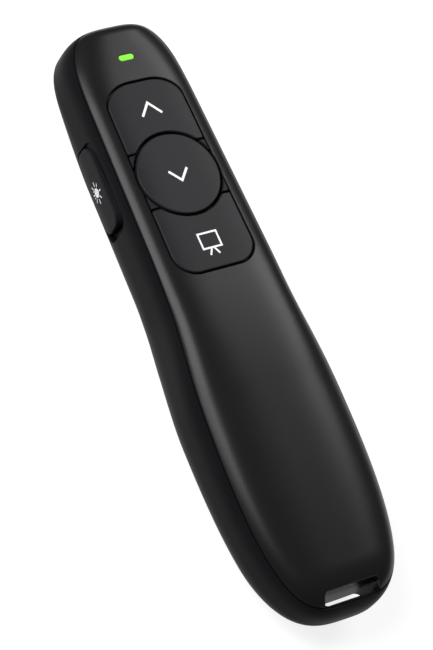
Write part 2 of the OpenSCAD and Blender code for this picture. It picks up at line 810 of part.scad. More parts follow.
module receiver_space() {
    translate([-receiver_w / 2 - receiver_clear, receiver_y - receiver_all - receiver_clear, -1])
        cube([receiver_w + 2 * receiver_clear, receiver_all + 2 * receiver_clear,
              receiver_z + receiver_h + receiver_clear + 1]);
    // Notch for a fingernail
    translate([0, receiver_y + receiver_clear, under_z - 1])
        cylinder(r = notch_r, h = receiver_inset + wall - bay_t + 1, $fn = curve_fn);
}

// Puts its children on the left wall, with their own Z pointing out of the wall
module on_left_wall() {
    y = key_y + side_y;
    translate([-side_wall_x(y), y, case_h - side_depth])
        rotate([0, 0, atan(head_taper)])
        rotate([90, 0, -90]) children();
}

module on_right_wall() {
    mirror([1, 0, 0]) on_left_wall() children();
}

// Outline of the pointer button, grown all round, and then above it and behind it
module side_button_outline(grow, above_it, behind_it) {
    translate([behind_it / 2 - side_shift[0], above_it / 2 - side_shift[1]])
        round_rect(side_l + 2 * grow + behind_it, side_h + 2 * grow + above_it, side_corner_r + grow);
}

// Opening of the pointer button, with a scoop for the finger in front of the wall
// and a flat pocket for the button's flange behind it
module side_button_hole() {
    on_left_wall() {
        translate([0, 0, -wall - 1]) linear_extrude(wall + 3)
            side_button_outline(side_gap, 0, 0);
        translate([0, 0, -scoop_depth]) linear_extrude(scoop_depth + 3)
            side_button_outline(side_gap / 2, scoop_reach[0], scoop_reach[1]);
        translate([0, 0, -wall - side_pocket]) linear_extrude(side_pocket)
            side_button_outline(side_reach + side_gap, 0, 0);
    }
}

knob_hole_l = knob_l + knob_travel + 2 * knob_gap;
knob_hole_h = knob_h + 2 * knob_gap;

module knob_hole() {
    on_right_wall() {
        translate([0, 0, -wall - 1]) linear_extrude(wall + 3)
            square([knob_hole_l, knob_hole_h], center = true);
        translate([0, 0, -wall - side_pocket]) linear_extrude(side_pocket)
            square([knob_hole_l + 2 * knob_reach, knob_hole_h + 2 * knob_reach], center = true);
    }
}

// Back of the window, where all of its face is still behind the skin
function window_y() =
    let (low = barrel_z() - window_r, steps = [for (i = [0:400]) nose_y - i * 0.02])
    [for (y = steps) if (mid_z(y) - lower_h(y, 0) <= low) y][0] - window_inset - window_t;

module toward_nose(y) {
    translate([0, y, barrel_z()]) rotate([-90, 0, 0]) children();
}

module window_bore() {
    toward_nose(window_y()) cylinder(r = window_r, h = far, $fn = curve_fn);
    toward_nose(key_y + barrel_front)
        cylinder(r = window_r - window_ledge, h = far, $fn = curve_fn);
    // Seat of the barrel in its cradle
    along_barrel(0) cylinder(r = barrel_r, h = barrel_l, $fn = curve_fn);
}

module screw_holes() {
    screw_places() {
        translate([0, 0, -far]) cylinder(r = screw_r + screw_play, h = far + eps, $fn = curve_fn);
        translate([0, 0, -far - screw_seat_t])
            cylinder(r = screw_head_r + screw_play, h = far, $fn = curve_fn);
        // Room for the cover's bosses
        cylinder(r = boss_r + seam_gap / 2, h = far, $fn = curve_fn);
    }
}

// The slot is straight at its mouth and widens toward the underside
module lanyard_hole() {
    translate([0, slot_y + slot_l / 2, slot_top_z() - eps])
        linear_extrude(far) round_rect(slot_w, slot_l, slot_r);
    hull() {
        translate([0, slot_y + slot_l / 2, slot_top_z()])
            linear_extrude(eps) round_rect(slot_w, slot_l, slot_r);
        translate([0, slot_y + (slot_l + slot_draft) / 2, -eps])
            linear_extrude(eps) round_rect(slot_w + 2 * slot_flare, slot_l + slot_draft, slot_r);
    }
}

// ---- Keys and their frame ----

module key_frame() {
    color([0.09, 0.09, 0.1])
    difference() {
        union() {
            key_slab(frame_top, frame_t) round_rect(frame_w, frame_l, frame_corner_r);
            key_slab(0, frame_top + eps) wedges();
        }
        for (p = [up_at, down_at, screen_at])
            at_keys(p, 2 * frame_top)
                cylinder(r = plunger_r + plunger_clear, h = 2 * frame_top, $fn = curve_fn);
        frame_stakes(stake_r, 2 * frame_top, cap_t);
    }
}

module wedges() {
    difference() {
        intersection() {
            pad_shape(-key_gap);
            square([2 * far, 2 * wedge_y], center = true);
        }
        circle(r = round_r + round_gap, $fn = 2 * curve_fn);
    }
}

module up_button() {
    color([0.12, 0.12, 0.13]) outer_key(1, up_at);
}

module screen_button() {
    color([0.12, 0.12, 0.13]) outer_key(-1, screen_at);
}

module down_button() {
    color([0.12, 0.12, 0.13]) {
        key_slab(0, flange_low) circle(r = round_r, $fn = 2 * curve_fn);
        // Ears that keep the round key under the cover
        key_slab(flange_top, flange_t)
            square([pad_w + 2 * flange_reach, 2 * plunger_r], center = true);
        plunger(down_at);
    }
}

// ---- Pointer button ----

// Distance from the wall's outer face to the button's flange
side_wall_in = wall + key_clear;
// Height of the side switch's centre
side_switch_z = board_low - side_switch_h / 2;

module laser_button() {
    color([0.12, 0.12, 0.13]) {
        on_left_wall() {
            translate([0, 0, side_proud - side_cap_t - eps]) linear_extrude(side_cap_t + eps)
                side_button_outline(0, 0, 0);
            translate([0, 0, -side_wall_in - side_flange_t]) linear_extrude(side_flange_t)
                side_button_outline(side_reach, 0, 0);
        }
        side_rod(side_rod_r, side_wall_in, side_stem_x());
    }
}

// X of the side switch's outer face, and of its stem's tip
function side_switch_x() = board_w / 2 - side_switch_inset;
function side_stem_x() = side_switch_x() + side_stem_proud;

// A rod along X at the side switch, from a depth in the wall to a place in the case
module side_rod(r, depth, x_in) {
    y = key_y + side_y;
    x_out = side_wall_x(y) - depth;
    translate([-x_out, y, side_switch_z]) rotate([0, 90, 0])
        cylinder(r = r, h = x_out - x_in, $fn = curve_fn);
}

module laser_switch_stem() {
    color([0.75, 0.7, 0.6])
    translate([-side_stem_x(), key_y + side_y, side_switch_z]) rotate([0, 90, 0])
        cylinder(r = side_stem_r, h = side_stem_x() - side_switch_x() + stem_foot, $fn = curve_fn);
}

module laser_switch() {
    color([0.2, 0.2, 0.22])
    difference() {
        translate([-side_switch_x(), key_y + side_y - side_switch_w / 2, board_low - side_switch_h])
            cube([side_switch_d, side_switch_w, side_switch_h]);
        translate([-side_switch_x() - 1, key_y + side_y, side_switch_z]) rotate([0, 90, 0])
            cylinder(r = side_stem_r + stem_clear,
                     h = 1 + stem_foot + key_travel + key_clear, $fn = curve_fn);
    }
}

// ---- Key switches ----

module key_switch(place) {
    color([0.2, 0.2, 0.22])
    difference() {
        box_about([switch_w, switch_w, switch_h], place, board_top);
        at_keys(place, switch_top + stem_foot + key_travel + key_clear)
            cylinder(r = stem_r + stem_clear, h = 3, $fn = curve_fn);
    }
}

module switch_stem(place) {
    color([0.75, 0.7, 0.6])
    at_keys(place, switch_top + stem_foot)
        cylinder(r = stem_r, h = stem_foot + stem_proud, $fn = curve_fn);
}

module up_switch() { key_switch(up_at); }
module down_switch() { key_switch(down_at); }
module screen_switch() { key_switch(screen_at); }
module up_switch_stem() { switch_stem(up_at); }
module down_switch_stem() { switch_stem(down_at); }
module screen_switch_stem() { switch_stem(screen_at); }

// ---- Indicator ----

lens_low = board_top - led_size[2] - led_gap;

module indicator_lens() {
    color([0.5, 1, 0.4]) {
        at_keys([0, lens_from_keys], lens_low) linear_extrude(lens_low) stadium(lens_w, lens_t);
        at_keys([0, lens_from_keys], wall + lens_flange_t) linear_extrude(lens_flange_t)
            stadium(lens_w + 2 * lens_reach[0], lens_t + 2 * lens_reach[1]);
    }
}

module indicator_led() {
    color([0.9, 0.95, 0.85]) box_about(led_size, [0, lens_from_keys], board_top);
}

// ---- Circuit board ----

board_tail_y = bay_front + rib_t + 2 * board_clear;

module circuit_board() {
    color([0.05, 0.35, 0.2])
    difference() {
        translate([-board_w / 2, board_tail_y, board_low])
            cube([board_w, key_y + board_nose - board_tail_y, board_t]);
        for (x = [-1, 1]) contact_tab(x, board_clear);
        // Holes for the laser diode's legs
        for (x = [-1, 1]) diode_leg(x, board_clear);
        // Notches round the nose bosses
        for (x = [-1, 1]) translate([x * nose_screw[0], nose_y - nose_screw[1], 0])
            cylinder(r = case_boss_r + board_clear, h = case_h, $fn = curve_fn);
    }
}

module radio_chip() {
    color([0.1, 0.1, 0.1]) box_about(chip_size, chip_place, board_top);
}

module clock_crystal() {
    color([0.8, 0.8, 0.82]) box_about(crystal_size, crystal_place, board_top);
}

// ---- Laser pointer ----

module along_barrel(from_front) {
    translate([0, key_y + barrel_front - from_front, barrel_z()]) rotate([90, 0, 0]) children();
}

module laser_barrel() {
    color([0.75, 0.6, 0.3])
    difference() {
        along_barrel(0) cylinder(r = barrel_r, h = barrel_l, $fn = curve_fn);
        along_barrel(-1) cylinder(r = barrel_r - barrel_wall, h = barrel_l + 2, $fn = curve_fn);
    }
}

module laser_lens() {
    color([0.8, 0.9, 1, 0.5])
    along_barrel(0.5) cylinder(r = barrel_r - barrel_wall, h = lens_disc_t, $fn = curve_fn);
}

module laser_diode() {
    color([0.8, 0.75, 0.6]) {
        along_barrel(barrel_l - diode_l)
            cylinder(r = barrel_r - barrel_wall, h = diode_l, $fn = curve_fn);
        for (x = [-1, 1]) diode_leg(x, 0);
    }
}

// One bent leg from the back of the diode up into the board
module diode_leg(side, grow) {
    x = side * (barrel_r - barrel_wall) / 2;
    y = key_y + barrel_front - barrel_l;
    r = diode_leg_r + grow;
    translate([x, y + eps, barrel_z()]) rotate([90, 0, 0])
        cylinder(r = r, h = diode_leg_l + eps, $fn = curve_fn);
    translate([x, y - diode_leg_l, barrel_z() - r])
        cylinder(r = r, h = board_z - barrel_z() + r - leg_short + grow, $fn = curve_fn);
}

module laser_window() {
    color([0.15, 0.02, 0.03])
    toward_nose(window_y()) cylinder(r = window_r, h = window_t, $fn = curve_fn);
}

// ---- Power switch ----

function slide_body_x() = board_w / 2 - side_switch_inset;
lever_z = board_low - slide_body_h / 2;

module power_switch() {
    color([0.7, 0.7, 0.72])
    difference() {
        translate([slide_body_x() - slide_body_d, key_y + side_y - slide_body_l / 2,
                   board_low - slide_body_h])
            cube([slide_body_d, slide_body_l, slide_body_h]);
        translate([slide_body_x() - lever_track, key_y + side_y - (lever_w + knob_travel) / 2 - knob_gap,
                   lever_z - lever_w / 2 - knob_gap])
            cube([3, lever_w + knob_travel + 2 * knob_gap, lever_w + 2 * knob_gap]);
    }
}

// At rest the knob stands at the tail end of its travel
knob_rest = -knob_travel / 2;
function knob_back_x() = side_wall_x(key_y + side_y) - wall - key_clear - knob_flange_t;

module power_switch_lever() {
    color([0.15, 0.15, 0.16])
    translate([slide_body_x() - lever_foot, key_y + side_y + knob_rest - lever_w / 2,
               lever_z - lever_w / 2])
        cube([knob_back_x() + lever_bite - slide_body_x() + lever_foot, lever_w, lever_w]);
}

module power_switch_knob() {
    color([0.2, 0.2, 0.21])
    difference() {
        on_right_wall() translate([-knob_rest, 0, 0]) {
            translate([-knob_l / 2, -knob_h / 2, -wall - key_clear - eps])
                cube([knob_l, knob_h, wall + key_clear + eps]);
            translate([-knob_l / 2 - knob_reach, -knob_h / 2 - knob_reach,
                       -wall - key_clear - knob_flange_t])
                cube([knob_l + 2 * knob_reach, knob_h + 2 * knob_reach, knob_flange_t]);
            for (i = [0:knob_ribs - 1])
                translate([knob_l * ((i + 0.5) / knob_ribs - 0.5) - knob_rib_w / 2,
                           -knob_h / 2, -eps])
                    cube([knob_rib_w, knob_h, knob_proud + eps]);
        }
        power_switch_lever();
    }
}

// ---- Batteries ----

// A battery whose button end is at y, pointing toward the nose or the tail
module cell(x, y, dir) {
    color([0.75, 0.75, 0.78])
    translate([x, y, cell_z]) rotate([dir * 90, 0, 0]) {
        translate([0, 0, button_h]) cylinder(r = cell_r, h = cell_l - button_h, $fn = curve_fn);
        cylinder(r = button_r, h = button_h + eps, $fn = curve_fn);
    }
}

module battery_left() {
    cell(-cell_x, bay_front - plate_t, 1);
}

module battery_right() {
    cell(cell_x, bay_front - bay_l + plate_t, -1);
}

// Centre of the wire at a share u of a spring, wide end first
function coil_point(u) =
    let (r = spring_r - wire_r + (spring_tip_r - spring_r) * u, a = 360 * spring_turns * u)
    [r * cos(a), r * sin(a), wire_r + (spring_l - 2 * wire_r) * u];

coil_steps = 8;

// One turn of wire after another, as one swept tube along Z
module coil() {
    sides = 6;
    n = spring_turns * coil_steps;
    path = [for (i = [0:n]) coil_point(i / n)];
    function ring(i) =
        let (a = 360 * spring_turns * i / n)
        [for (j = [0:sides - 1]) let (b = 360 * (j + 0.5) / sides)
         path[i] + wire_r * [cos(b) * cos(a), cos(b) * sin(a), sin(b)]];
    function cap(first, turn) =
        [for (j = [1:sides - 2]) turn ? [first, first + j, first + j + 1]
                                      : [first, first + j + 1, first + j]];
    points = [for (i = [0:n]) for (p = ring(i)) p];
    polyhedron(points = points, faces = concat(
        cap(0, false),
        cap(n * sides, true),
        [for (i = [0:n - 1]) for (j = [0:sides - 1])
         [i * sides + j, i * sides + (j + 1) % sides, (i + 1) * sides + j]],
        [for (i = [0:n - 1]) for (j = [0:sides - 1])
         [(i + 1) * sides + j, i * sides + (j + 1) % sides, (i + 1) * sides + (j + 1) % sides]]));
}

// Least gap between one turn of the wire and the next, measured on points of its centre line
spring_gap = min([for (i = [0:16 * spring_turns]) for (j = [i:16 * spring_turns])
    let (ui = i / (16 * spring_turns), uj = j / (16 * spring_turns))
    if ((uj - ui) * spring_turns > 0.5) norm(coil_point(ui) - coil_point(uj)) - 2 * wire_r]);
echo(spring_gap = spring_gap);

module battery_springs() {
    color([0.8, 0.8, 0.82]) {
        translate([-cell_x, bay_front - bay_l + plate_t, cell_z]) rotate([-90, 0, 0]) coil();
        translate([cell_x, bay_front - plate_t, cell_z]) rotate([90, 0, 0]) coil();
    }
}

plate_w = 2 * (spring_r + plate_edge);

// The tab runs forward through the bay's wall and then up through the board
module contact_tab(side, grow) {
    low = cell_z + plate_w / 2 - plate_t;
    reach = rib_t + tab_stand;
    translate([side * cell_x - tab_w / 2 - grow, bay_front - eps, low - grow])
        cube([tab_w + 2 * grow, reach + plate_t + grow, plate_t + 2 * grow]);
    translate([side * cell_x - tab_w / 2 - grow, bay_front + reach - grow, low - grow])
        cube([tab_w + 2 * grow, plate_t + 2 * grow, board_z + plate_t - low + 2 * grow]);
}

module battery_contacts() {
    color([0.8, 0.78, 0.7]) {
        // Two plates toward the board
        for (x = [-1, 1]) {
            translate([x * cell_x - plate_w / 2, bay_front - plate_t, cell_z - plate_w / 2])
                cube([plate_w, plate_t, plate_w]);
            contact_tab(x, 0);
        }
        // One plate that bridges both batteries
        translate([-cell_x - plate_w / 2, bay_front - bay_l, cell_z - plate_w / 2])
            cube([2 * cell_x + plate_w, plate_t, plate_w]);
    }
}

// ---- Battery door ----

module battery_door() {
    color([0.08, 0.08, 0.09]) {
        difference() {
            intersection() {
                difference() {
                    body(0, skin_grid);
                    body(door_t, core_grid);
                }
                door_prism(door_gap);
            }
            below_table();
        }
        // Hinge tab on its web
        translate([-hook_w / 2, bay_front - door_gap - hook_web, wall / 2])
            cube([hook_w, hook_web, hook_z + hook_t - wall / 2]);
        translate([-hook_w / 2, bay_front - door_gap - hook_web, hook_z])
            cube([hook_w, hook_web + door_reach + hook_reach, hook_t]);
        // Latch tongue at the tail end
        translate([-tongue_w / 2, bay_end - 2 * door_gap - tongue_t, wall / 2])
            cube([tongue_w, tongue_t, door_t + tongue_h - wall / 2]);
    }
}

// ---- Receiver ----

module receiver_body() {
    color([0.1, 0.1, 0.11])
    translate([0, receiver_y - receiver_l / 2, receiver_z])
        linear_extrude(receiver_h) round_rect(receiver_w, receiver_l, receiver_r);
}

module receiver_plug() {
    color([0.8, 0.8, 0.82])
    translate([-plug_w / 2, receiver_y - receiver_all, receiver_z + (receiver_h - plug_h) / 2])
    difference() {
        cube([plug_w, plug_l, plug_h]);
        translate([plug_wall, -1, plug_wall + plug_block])
            cube([plug_w - 2 * plug_wall, plug_l, plug_h - 2 * plug_wall - plug_block]);
        for (x = [1, 3]) translate([x * plug_w / 4 - 1, 3, plug_h - plug_wall - eps])
            cube([2, 2, 1]);
    }
}

// ---- Screws ----

module case_screws() {
    color([0.6, 0.6, 0.62])
    screw_places() {
        translate([0, 0, -screw_seat_t]) cylinder(r = screw_r, h = screw_seat_t + screw_bite - 0.3,
                                                  $fn = curve_fn);
        difference() {
            translate([0, 0, -screw_seat_t - screw_head_h])
                cylinder(r = screw_head_r, h = screw_head_h, $fn = curve_fn);
            for (a = [0, 90]) rotate([0, 0, a])
                translate([-1.2, -0.25, -screw_seat_t - screw_head_h - 1])
                    cube([2.4, 0.5, 1.7]);
        }
    }
}

top_cover();
bottom_case();
key_frame();
up_button();
down_button();
screen_button();
laser_button();
indicator_lens();
indicator_led();
circuit_board();
up_switch();
down_switch();
screen_switch();
laser_switch();
up_switch_stem();
down_switch_stem();
screen_switch_stem();
laser_switch_stem();
radio_chip();
clock_crystal();
laser_barrel();
laser_lens();
laser_diode();
laser_window();
power_switch();
power_switch_lever();
power_switch_knob();
battery_left();
battery_right();
battery_springs();
battery_contacts();
battery_door();
receiver_body();
receiver_plug();
case_screws();
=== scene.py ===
import json
import math

import bmesh
import bpy
import numpy as np
from mathutils import Matrix, Vector
from mathutils.geometry import delaunay_2d_cdt


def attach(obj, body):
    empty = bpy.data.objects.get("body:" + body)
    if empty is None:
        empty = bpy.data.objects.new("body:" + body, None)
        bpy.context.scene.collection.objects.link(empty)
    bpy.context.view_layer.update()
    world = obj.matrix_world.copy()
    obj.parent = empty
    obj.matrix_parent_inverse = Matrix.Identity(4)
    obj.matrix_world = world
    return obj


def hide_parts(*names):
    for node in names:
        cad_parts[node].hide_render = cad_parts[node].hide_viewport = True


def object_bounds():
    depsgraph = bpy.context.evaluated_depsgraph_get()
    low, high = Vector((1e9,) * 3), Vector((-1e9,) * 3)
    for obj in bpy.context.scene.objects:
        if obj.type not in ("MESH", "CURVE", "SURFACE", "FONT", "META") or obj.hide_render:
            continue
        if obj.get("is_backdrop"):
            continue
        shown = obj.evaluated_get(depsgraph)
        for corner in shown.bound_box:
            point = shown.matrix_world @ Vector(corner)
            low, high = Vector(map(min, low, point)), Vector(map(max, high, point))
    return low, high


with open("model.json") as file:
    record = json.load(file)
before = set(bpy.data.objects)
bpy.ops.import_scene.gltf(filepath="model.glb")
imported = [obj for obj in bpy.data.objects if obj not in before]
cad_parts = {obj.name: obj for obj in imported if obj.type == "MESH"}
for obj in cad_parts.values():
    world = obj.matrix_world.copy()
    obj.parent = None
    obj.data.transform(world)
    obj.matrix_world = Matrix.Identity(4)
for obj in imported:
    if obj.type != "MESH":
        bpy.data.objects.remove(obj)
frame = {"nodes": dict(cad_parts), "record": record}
cad_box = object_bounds()
scene = bpy.context.scene
MM = 0.001

# ---------------------------------------------------------------- sizes, in millimetres

# body
case_l, case_h, head_h, head_w = 140.8, 24.5, 22.5, 29.4
head_taper, grip_gain, foot_cut = 0.03, 1.9, 0.3
keys_from_nose, waist_from_keys, waist_l = 39.1, 27.7, 27.2
fall_from_keys, fall_bend, fall_slope = 26.6, 22.9, 0.07
belly_lead, belly_l, upper_share = 0.2, 18, 0.453
nose_power, head_power, grip_power, belly_power = 3.3, 5, 3.7, 2.5
# length and power of each end's rounding
nose_plan, nose_upper, nose_lower = (14.3, 3.2), (4.1, 3.3), (30.7, 1.5)
tail_plan, tail_upper, tail_lower = (56.3, 3.1), (10.1, 2.4), (18, 1.75)
wall = 1.8
seam_drop, seam_from_keys, seam_bend, seam_slope, seam_gap = 1.95, 15.2, 18.3, 0.076, 0.3
well_half_w, well_nose_r, well_tail_r, well_rim, well_clear, well_depth = 11.3, 8, 4, 3.6, 0.8, 7
# keys and the frame under them
pad_w, pad_taper, pad_l, pad_nose_corner, pad_tail_r = 20.1, 0.0185, 47.2, (7.4, 6), 5.6
key_gap, round_r, round_gap, wedge_y = 0.4, 9.7, 0.6, 6.5
cap_t, flange_t, flange_reach, key_travel, key_clear = 2.2, 0.8, 0.9, 0.6, 0.2
plunger_r, plunger_l, plunger_clear = 2, 2.2, 0.5
frame_t, frame_w, frame_edge, frame_corner_r = 1, 21.4, 0.7, 5
stake_x, stake_clear, stake_r, stake_shoulder = 6.5, 0.3, 0.9, 0.6
lens_clear, lens_w, lens_t, lens_flange_t, lens_reach, lens_play = 0.85, 3.7, 1.4, 0.8, (0.7, 0.45), 0.06
# board
board_t, board_w, board_clear, switch_h, stem_proud = 1.2, 20, 0.15, 1.8, 0.8
led_h, led_gap = 0.6, 0.3
post_r, post_x, post_nose, post_tail = 1.8, 7.6, 22, 8.35
# pointer button, pointer and power slide
side_y, side_depth, side_l, side_h, side_gap, side_corner_r = 3.4, 8.8, 19.6, 7.9, 0.3, 2.8
side_shift, scoop_reach, scoop_depth = (1.3, 2.15), (2.2, 1.9), 1.2
side_cap_t, side_flange_t, side_reach, side_pocket = 2.1, 0.8, 0.9, 3
side_switch_h, side_switch_inset, side_stem_proud, side_rod_r = 3.4, 0.4, 1.3, 1.5
barrel_r, barrel_l, barrel_front, barrel_drop = 2.5, 13, 30, 0.3
window_r, window_t, window_inset, window_ledge = 1.8, 1, 0.3, 0.5
knob_l, knob_h, knob_travel, knob_gap, knob_reach = 7, 3, 2, 0.25, 1
# batteries and their door
cell_r, cell_l, cell_gap = 5.25, 44.5, 0.6
bay_clear, bay_t, bay_from_tail, plate_t = 0.55, 1.2, 13.3, 0.4
tab_w, tab_stand, plate_edge = 2.5, 1.5, 0.6
spring_l, spring_r, spring_tip_r, wire_r, spring_turns = 5.1, 3.3, 2.2, 0.3, 4
door_t, door_gap, door_w, door_reach, door_r = 1.6, 0.2, 25, 1.1, 3
hook_w, hook_t, hook_web, hook_reach, hook_swing = 5, 1, 1, 1.3, 1.2
tongue_h, tongue_t, tongue_w = 2.6, 0.6, 8
# receiver, screws and lanyard slot
receiver_w, receiver_h, receiver_l, notch_r = 15, 6, 7, 4
plug_l, receiver_clear, receiver_from_keys, receiver_inset = 12, 0.4, 7.8, 1.1
screw_r, screw_head_r, screw_bite, boss_r = 0.95, 1.9, 3, 1.9
case_boss_wall, screw_seat_t, screw_play, boss_drop = 0.6, 2.2, 0.15, 5.25
nose_screw, tail_screw = (6, 6.7), (8, 8.7)
slot_w, slot_from_tail, slot_l, slot_r = 13.8, 2.5, 2.5, 1.2
slot_draft, slot_flare, slot_wall, rib_w = 1.2, 2.4, 1.2, 1.1
cover_slot_r, cover_slot_over = 1.2, 3.0
# radii of rounded edges: openings first, then the pieces in them
seam_lip, key_lip, lens_lip, slot_lip, door_lip, grip_lip, knob_lip, seat_lip = (
    0.3, 0.28, 0.12, 0.25, 0.22, 0.35, 0.25, 0.2)
key_edge, round_edge, wedge_edge, side_edge, lens_edge = 0.28, 0.3, 0.18, 0.35, 0.2
# spacing of the keys, and small overlaps and offsets between their parts
key_pitch, cap_sink, side_lift, bite = 15, 0.02, 0.06, 0.05
# rings and sides of the skin's mesh
SKIN = (260, 220)
eps, far = 0.01, 60.0

nose_y, tail_y = case_l / 2, -case_l / 2
key_y = nose_y - keys_from_nose
under_z = case_h - head_h
gap_r = round_r + round_gap
bay_l = cell_l + spring_l + 2 * plate_t
bay_end = tail_y + bay_from_tail
bay_front = bay_end + bay_l
stake_y = pad_l / 2 - key_gap + flange_reach + stake_clear + stake_shoulder + stake_r
frame_l = 2 * (stake_y + stake_r + frame_edge)
lens_from_keys = frame_l / 2 + lens_clear + lens_t / 2 + lens_reach[1]
flange_low = cap_t + flange_t
frame_top = flange_low + key_travel + key_clear
stem_top = flange_low + plunger_l
board_top = stem_top + stem_proud + switch_h
board_low = case_h - board_top - board_t

# ---------------------------------------------------------------- curves of the case


def ramp(s, bend):
    return np.where(s <= 0, 0, np.where(s < bend, s * s / (2 * bend), s - bend / 2))


def smooth(u):
    c = np.clip(u, 0, 1)
    return c * c * (3 - 2 * c)


def end_cap(d, shape):
    """Share of the full size at distance d from an end."""
    length, power = shape
    u = np.clip(d / length, 0, 1)
    return np.maximum(1 - (1 - u) ** power, 0) ** (1 / power)


def both_caps(y, inset, nose, tail):
    return end_cap(nose_y - inset - y, nose) * end_cap(y - tail_y - inset, tail)


def waist(y):
    return smooth((key_y - waist_from_keys - y) / waist_l)


def half_w(y):
    return head_w / 2 - head_taper * (y - key_y) + grip_gain * waist(y)


def top_z(y):
    return case_h - fall_slope * ramp(key_y - fall_from_keys - y, fall_bend)


def low_z(y):
    return under_z - (under_z + foot_cut) * smooth((bay_front + belly_lead + belly_l - y) / belly_l)


def mid_z(y):
    return top_z(y) - upper_share * (top_z(y) - low_z(y))


def seam_z(y):
    return case_h - seam_drop - seam_slope * ramp(key_y - seam_from_keys - y, seam_bend)


def top_power(y):
    return (head_power + (grip_power - head_power) * waist(y)
            + (nose_power - head_power) * smooth((y - key_y - keys_from_nose / 2) / (keys_from_nose / 2)))


def plan_w(y, inset=0.0):
    return (half_w(y) - inset) * both_caps(y, inset, nose_plan, tail_plan)


def upper_h(y, inset=0.0):
    return (top_z(y) - mid_z(y) - inset) * both_caps(y, inset, nose_upper, tail_upper)


def lower_h(y, inset=0.0):
    return (mid_z(y) - low_z(y) - inset) * both_caps(y, inset, nose_lower, tail_lower)


def field(p):
    """Below 1 inside the skin, above 1 outside it."""
    p = np.asarray(p, float)
    x, y, z = p[..., 0], np.clip(p[..., 1], tail_y + 1e-6, nose_y - 1e-6), p[..., 2]
    up = z >= mid_z(y)
    power = np.where(up, top_power(y), belly_power)
    h = np.where(up, upper_h(y), lower_h(y))
    value = (np.abs(x) / np.maximum(plan_w(y), 1e-6)) ** power
    value = value + (np.abs(z - mid_z(y)) / np.maximum(h, 1e-6)) ** power
    value = value + np.where(np.abs(p[..., 1]) > nose_y, np.abs(p[..., 1]) - nose_y, 0)
    return np.minimum(value, 1e9)


def skin_gradient(p, probe=1e-4):
    p = np.asarray(p, float)
    g = np.zeros_like(p)
    for k, step in enumerate(probe * np.eye(3)):
        g[..., k] = (field(p + step) - field(p - step)) / (2 * probe)
    return g


def skin_normal(p):
    g = skin_gradient(p)
    return g / np.maximum(np.linalg.norm(g, axis=-1, keepdims=True), 1e-12)


def skin_height(points, axes, span, halvings=46):
    """Height within span, along the frame's normal, at which 2-D points of the frame meet the skin."""
    base = place(points, axes, 0)
    lo, hi = (np.full(points.shape[:-1], float(end)) for end in span)
    for _ in range(halvings):
        mid = (lo + hi) / 2
        out = field(base + mid[..., None] * axes[3]) > 1
        hi = np.where(out, mid, hi)
        lo = np.where(out, lo, mid)
    return (lo + hi) / 2


def side_frame(sign):
    """Frame of the left (-1) or right (+1) wall at the pointer button: origin, along, up, outward."""
    y = key_y + side_y
    a = math.atan(head_taper)
    origin = np.array([sign * plan_w(y), y, case_h - side_depth])
    along = np.array([-sign * math.sin(a), -math.cos(a), 0.0])
    out = np.array([sign * math.cos(a), -math.sin(a), 0.0])
    return origin, along, np.array([0.0, 0.0, 1.0]), out


def above(x, y):
    """Frame at a place in plan: origin, across, toward the nose, up."""
    return np.array([x, y, 0.0]), np.array([1.0, 0, 0]), np.array([0, 1.0, 0]), np.array([0, 0, 1.0])


def below(x, y):
    """The same frame with its normal down."""
    return *above(x, y)[:3], np.array([0, 0, -1.0])


# ---------------------------------------------------------------- closed meshes, in millimetres


def place(points, axes, height):
    """Points of a frame's plane, lifted along its normal."""
    origin, ex, ey, n = axes
    points = np.asarray(points, float)
    height = np.broadcast_to(np.asarray(height, float), points.shape[:-1])
    return origin + points[..., :1] * ex + points[..., 1:2] * ey + height[..., None] * n


def solid(verts, faces):
    """A closed mesh whose faces point outward."""
    mesh = bpy.data.meshes.new("solid")
    mesh.from_pydata([tuple(v) for v in np.asarray(verts, float)], [], [tuple(f) for f in faces])
    bm = bmesh.new()
    bm.from_mesh(mesh)
    if bm.calc_volume(signed=True) < 0:
        bmesh.ops.reverse_faces(bm, faces=bm.faces[:])
    bm.to_mesh(mesh)
    bm.free()
    obj = bpy.data.objects.new("solid", mesh)
    scene.collection.objects.link(obj)
    return obj


def box(lo, hi):
    lo, hi = np.minimum(lo, hi), np.maximum(lo, hi)
    v = [(x, y, z) for x in (lo[0], hi[0]) for y in (lo[1], hi[1]) for z in (lo[2], hi[2])]
    return solid(v, [(0, 1, 3, 2), (4, 6, 7, 5), (0, 4, 5, 1), (2, 3, 7, 6), (0, 2, 6, 4), (1, 5, 7, 3)])


def loft(rows):
    """Skins a stack of loops that have the same number of points, with flat ends."""
    n = len(rows[0])
    last = (len(rows) - 1) * n
    faces = [(k + j, k + (j + 1) % n, k + n + (j + 1) % n, k + n + j)
             for k in range(0, last, n) for j in range(n)]
    faces += [tuple(range(n))[::-1], tuple(range(last, last + n))]
    return solid(np.concatenate(rows), faces)


def ring(sections):
    """A closed band: section i is a small closed polygon, and the last joins the first."""
    n, k = sections.shape[:2]
    faces = [(i * k + j, i * k + (j + 1) % k, ((i + 1) % n) * k + (j + 1) % k, ((i + 1) % n) * k + j)
             for i in range(n) for j in range(k)]
    return solid(sections.reshape(-1, 3), faces)


def prism(loop, axes, low, high):
    return loft([place(loop, axes, low), place(loop, axes, high)])


def cylinder(centre, r, low, high, axis=2, steps=64):
    """A round rod; centre gives the two coordinates across it."""
    a = np.arange(steps) * 2 * math.pi / steps
    across = [centre[0] + r * np.cos(a), centre[1] + r * np.sin(a)]
    ends = (np.full(steps, float(h)) for h in (low, high))
    return loft([np.stack(across[:axis] + [end] + across[axis:], 1) for end in ends])


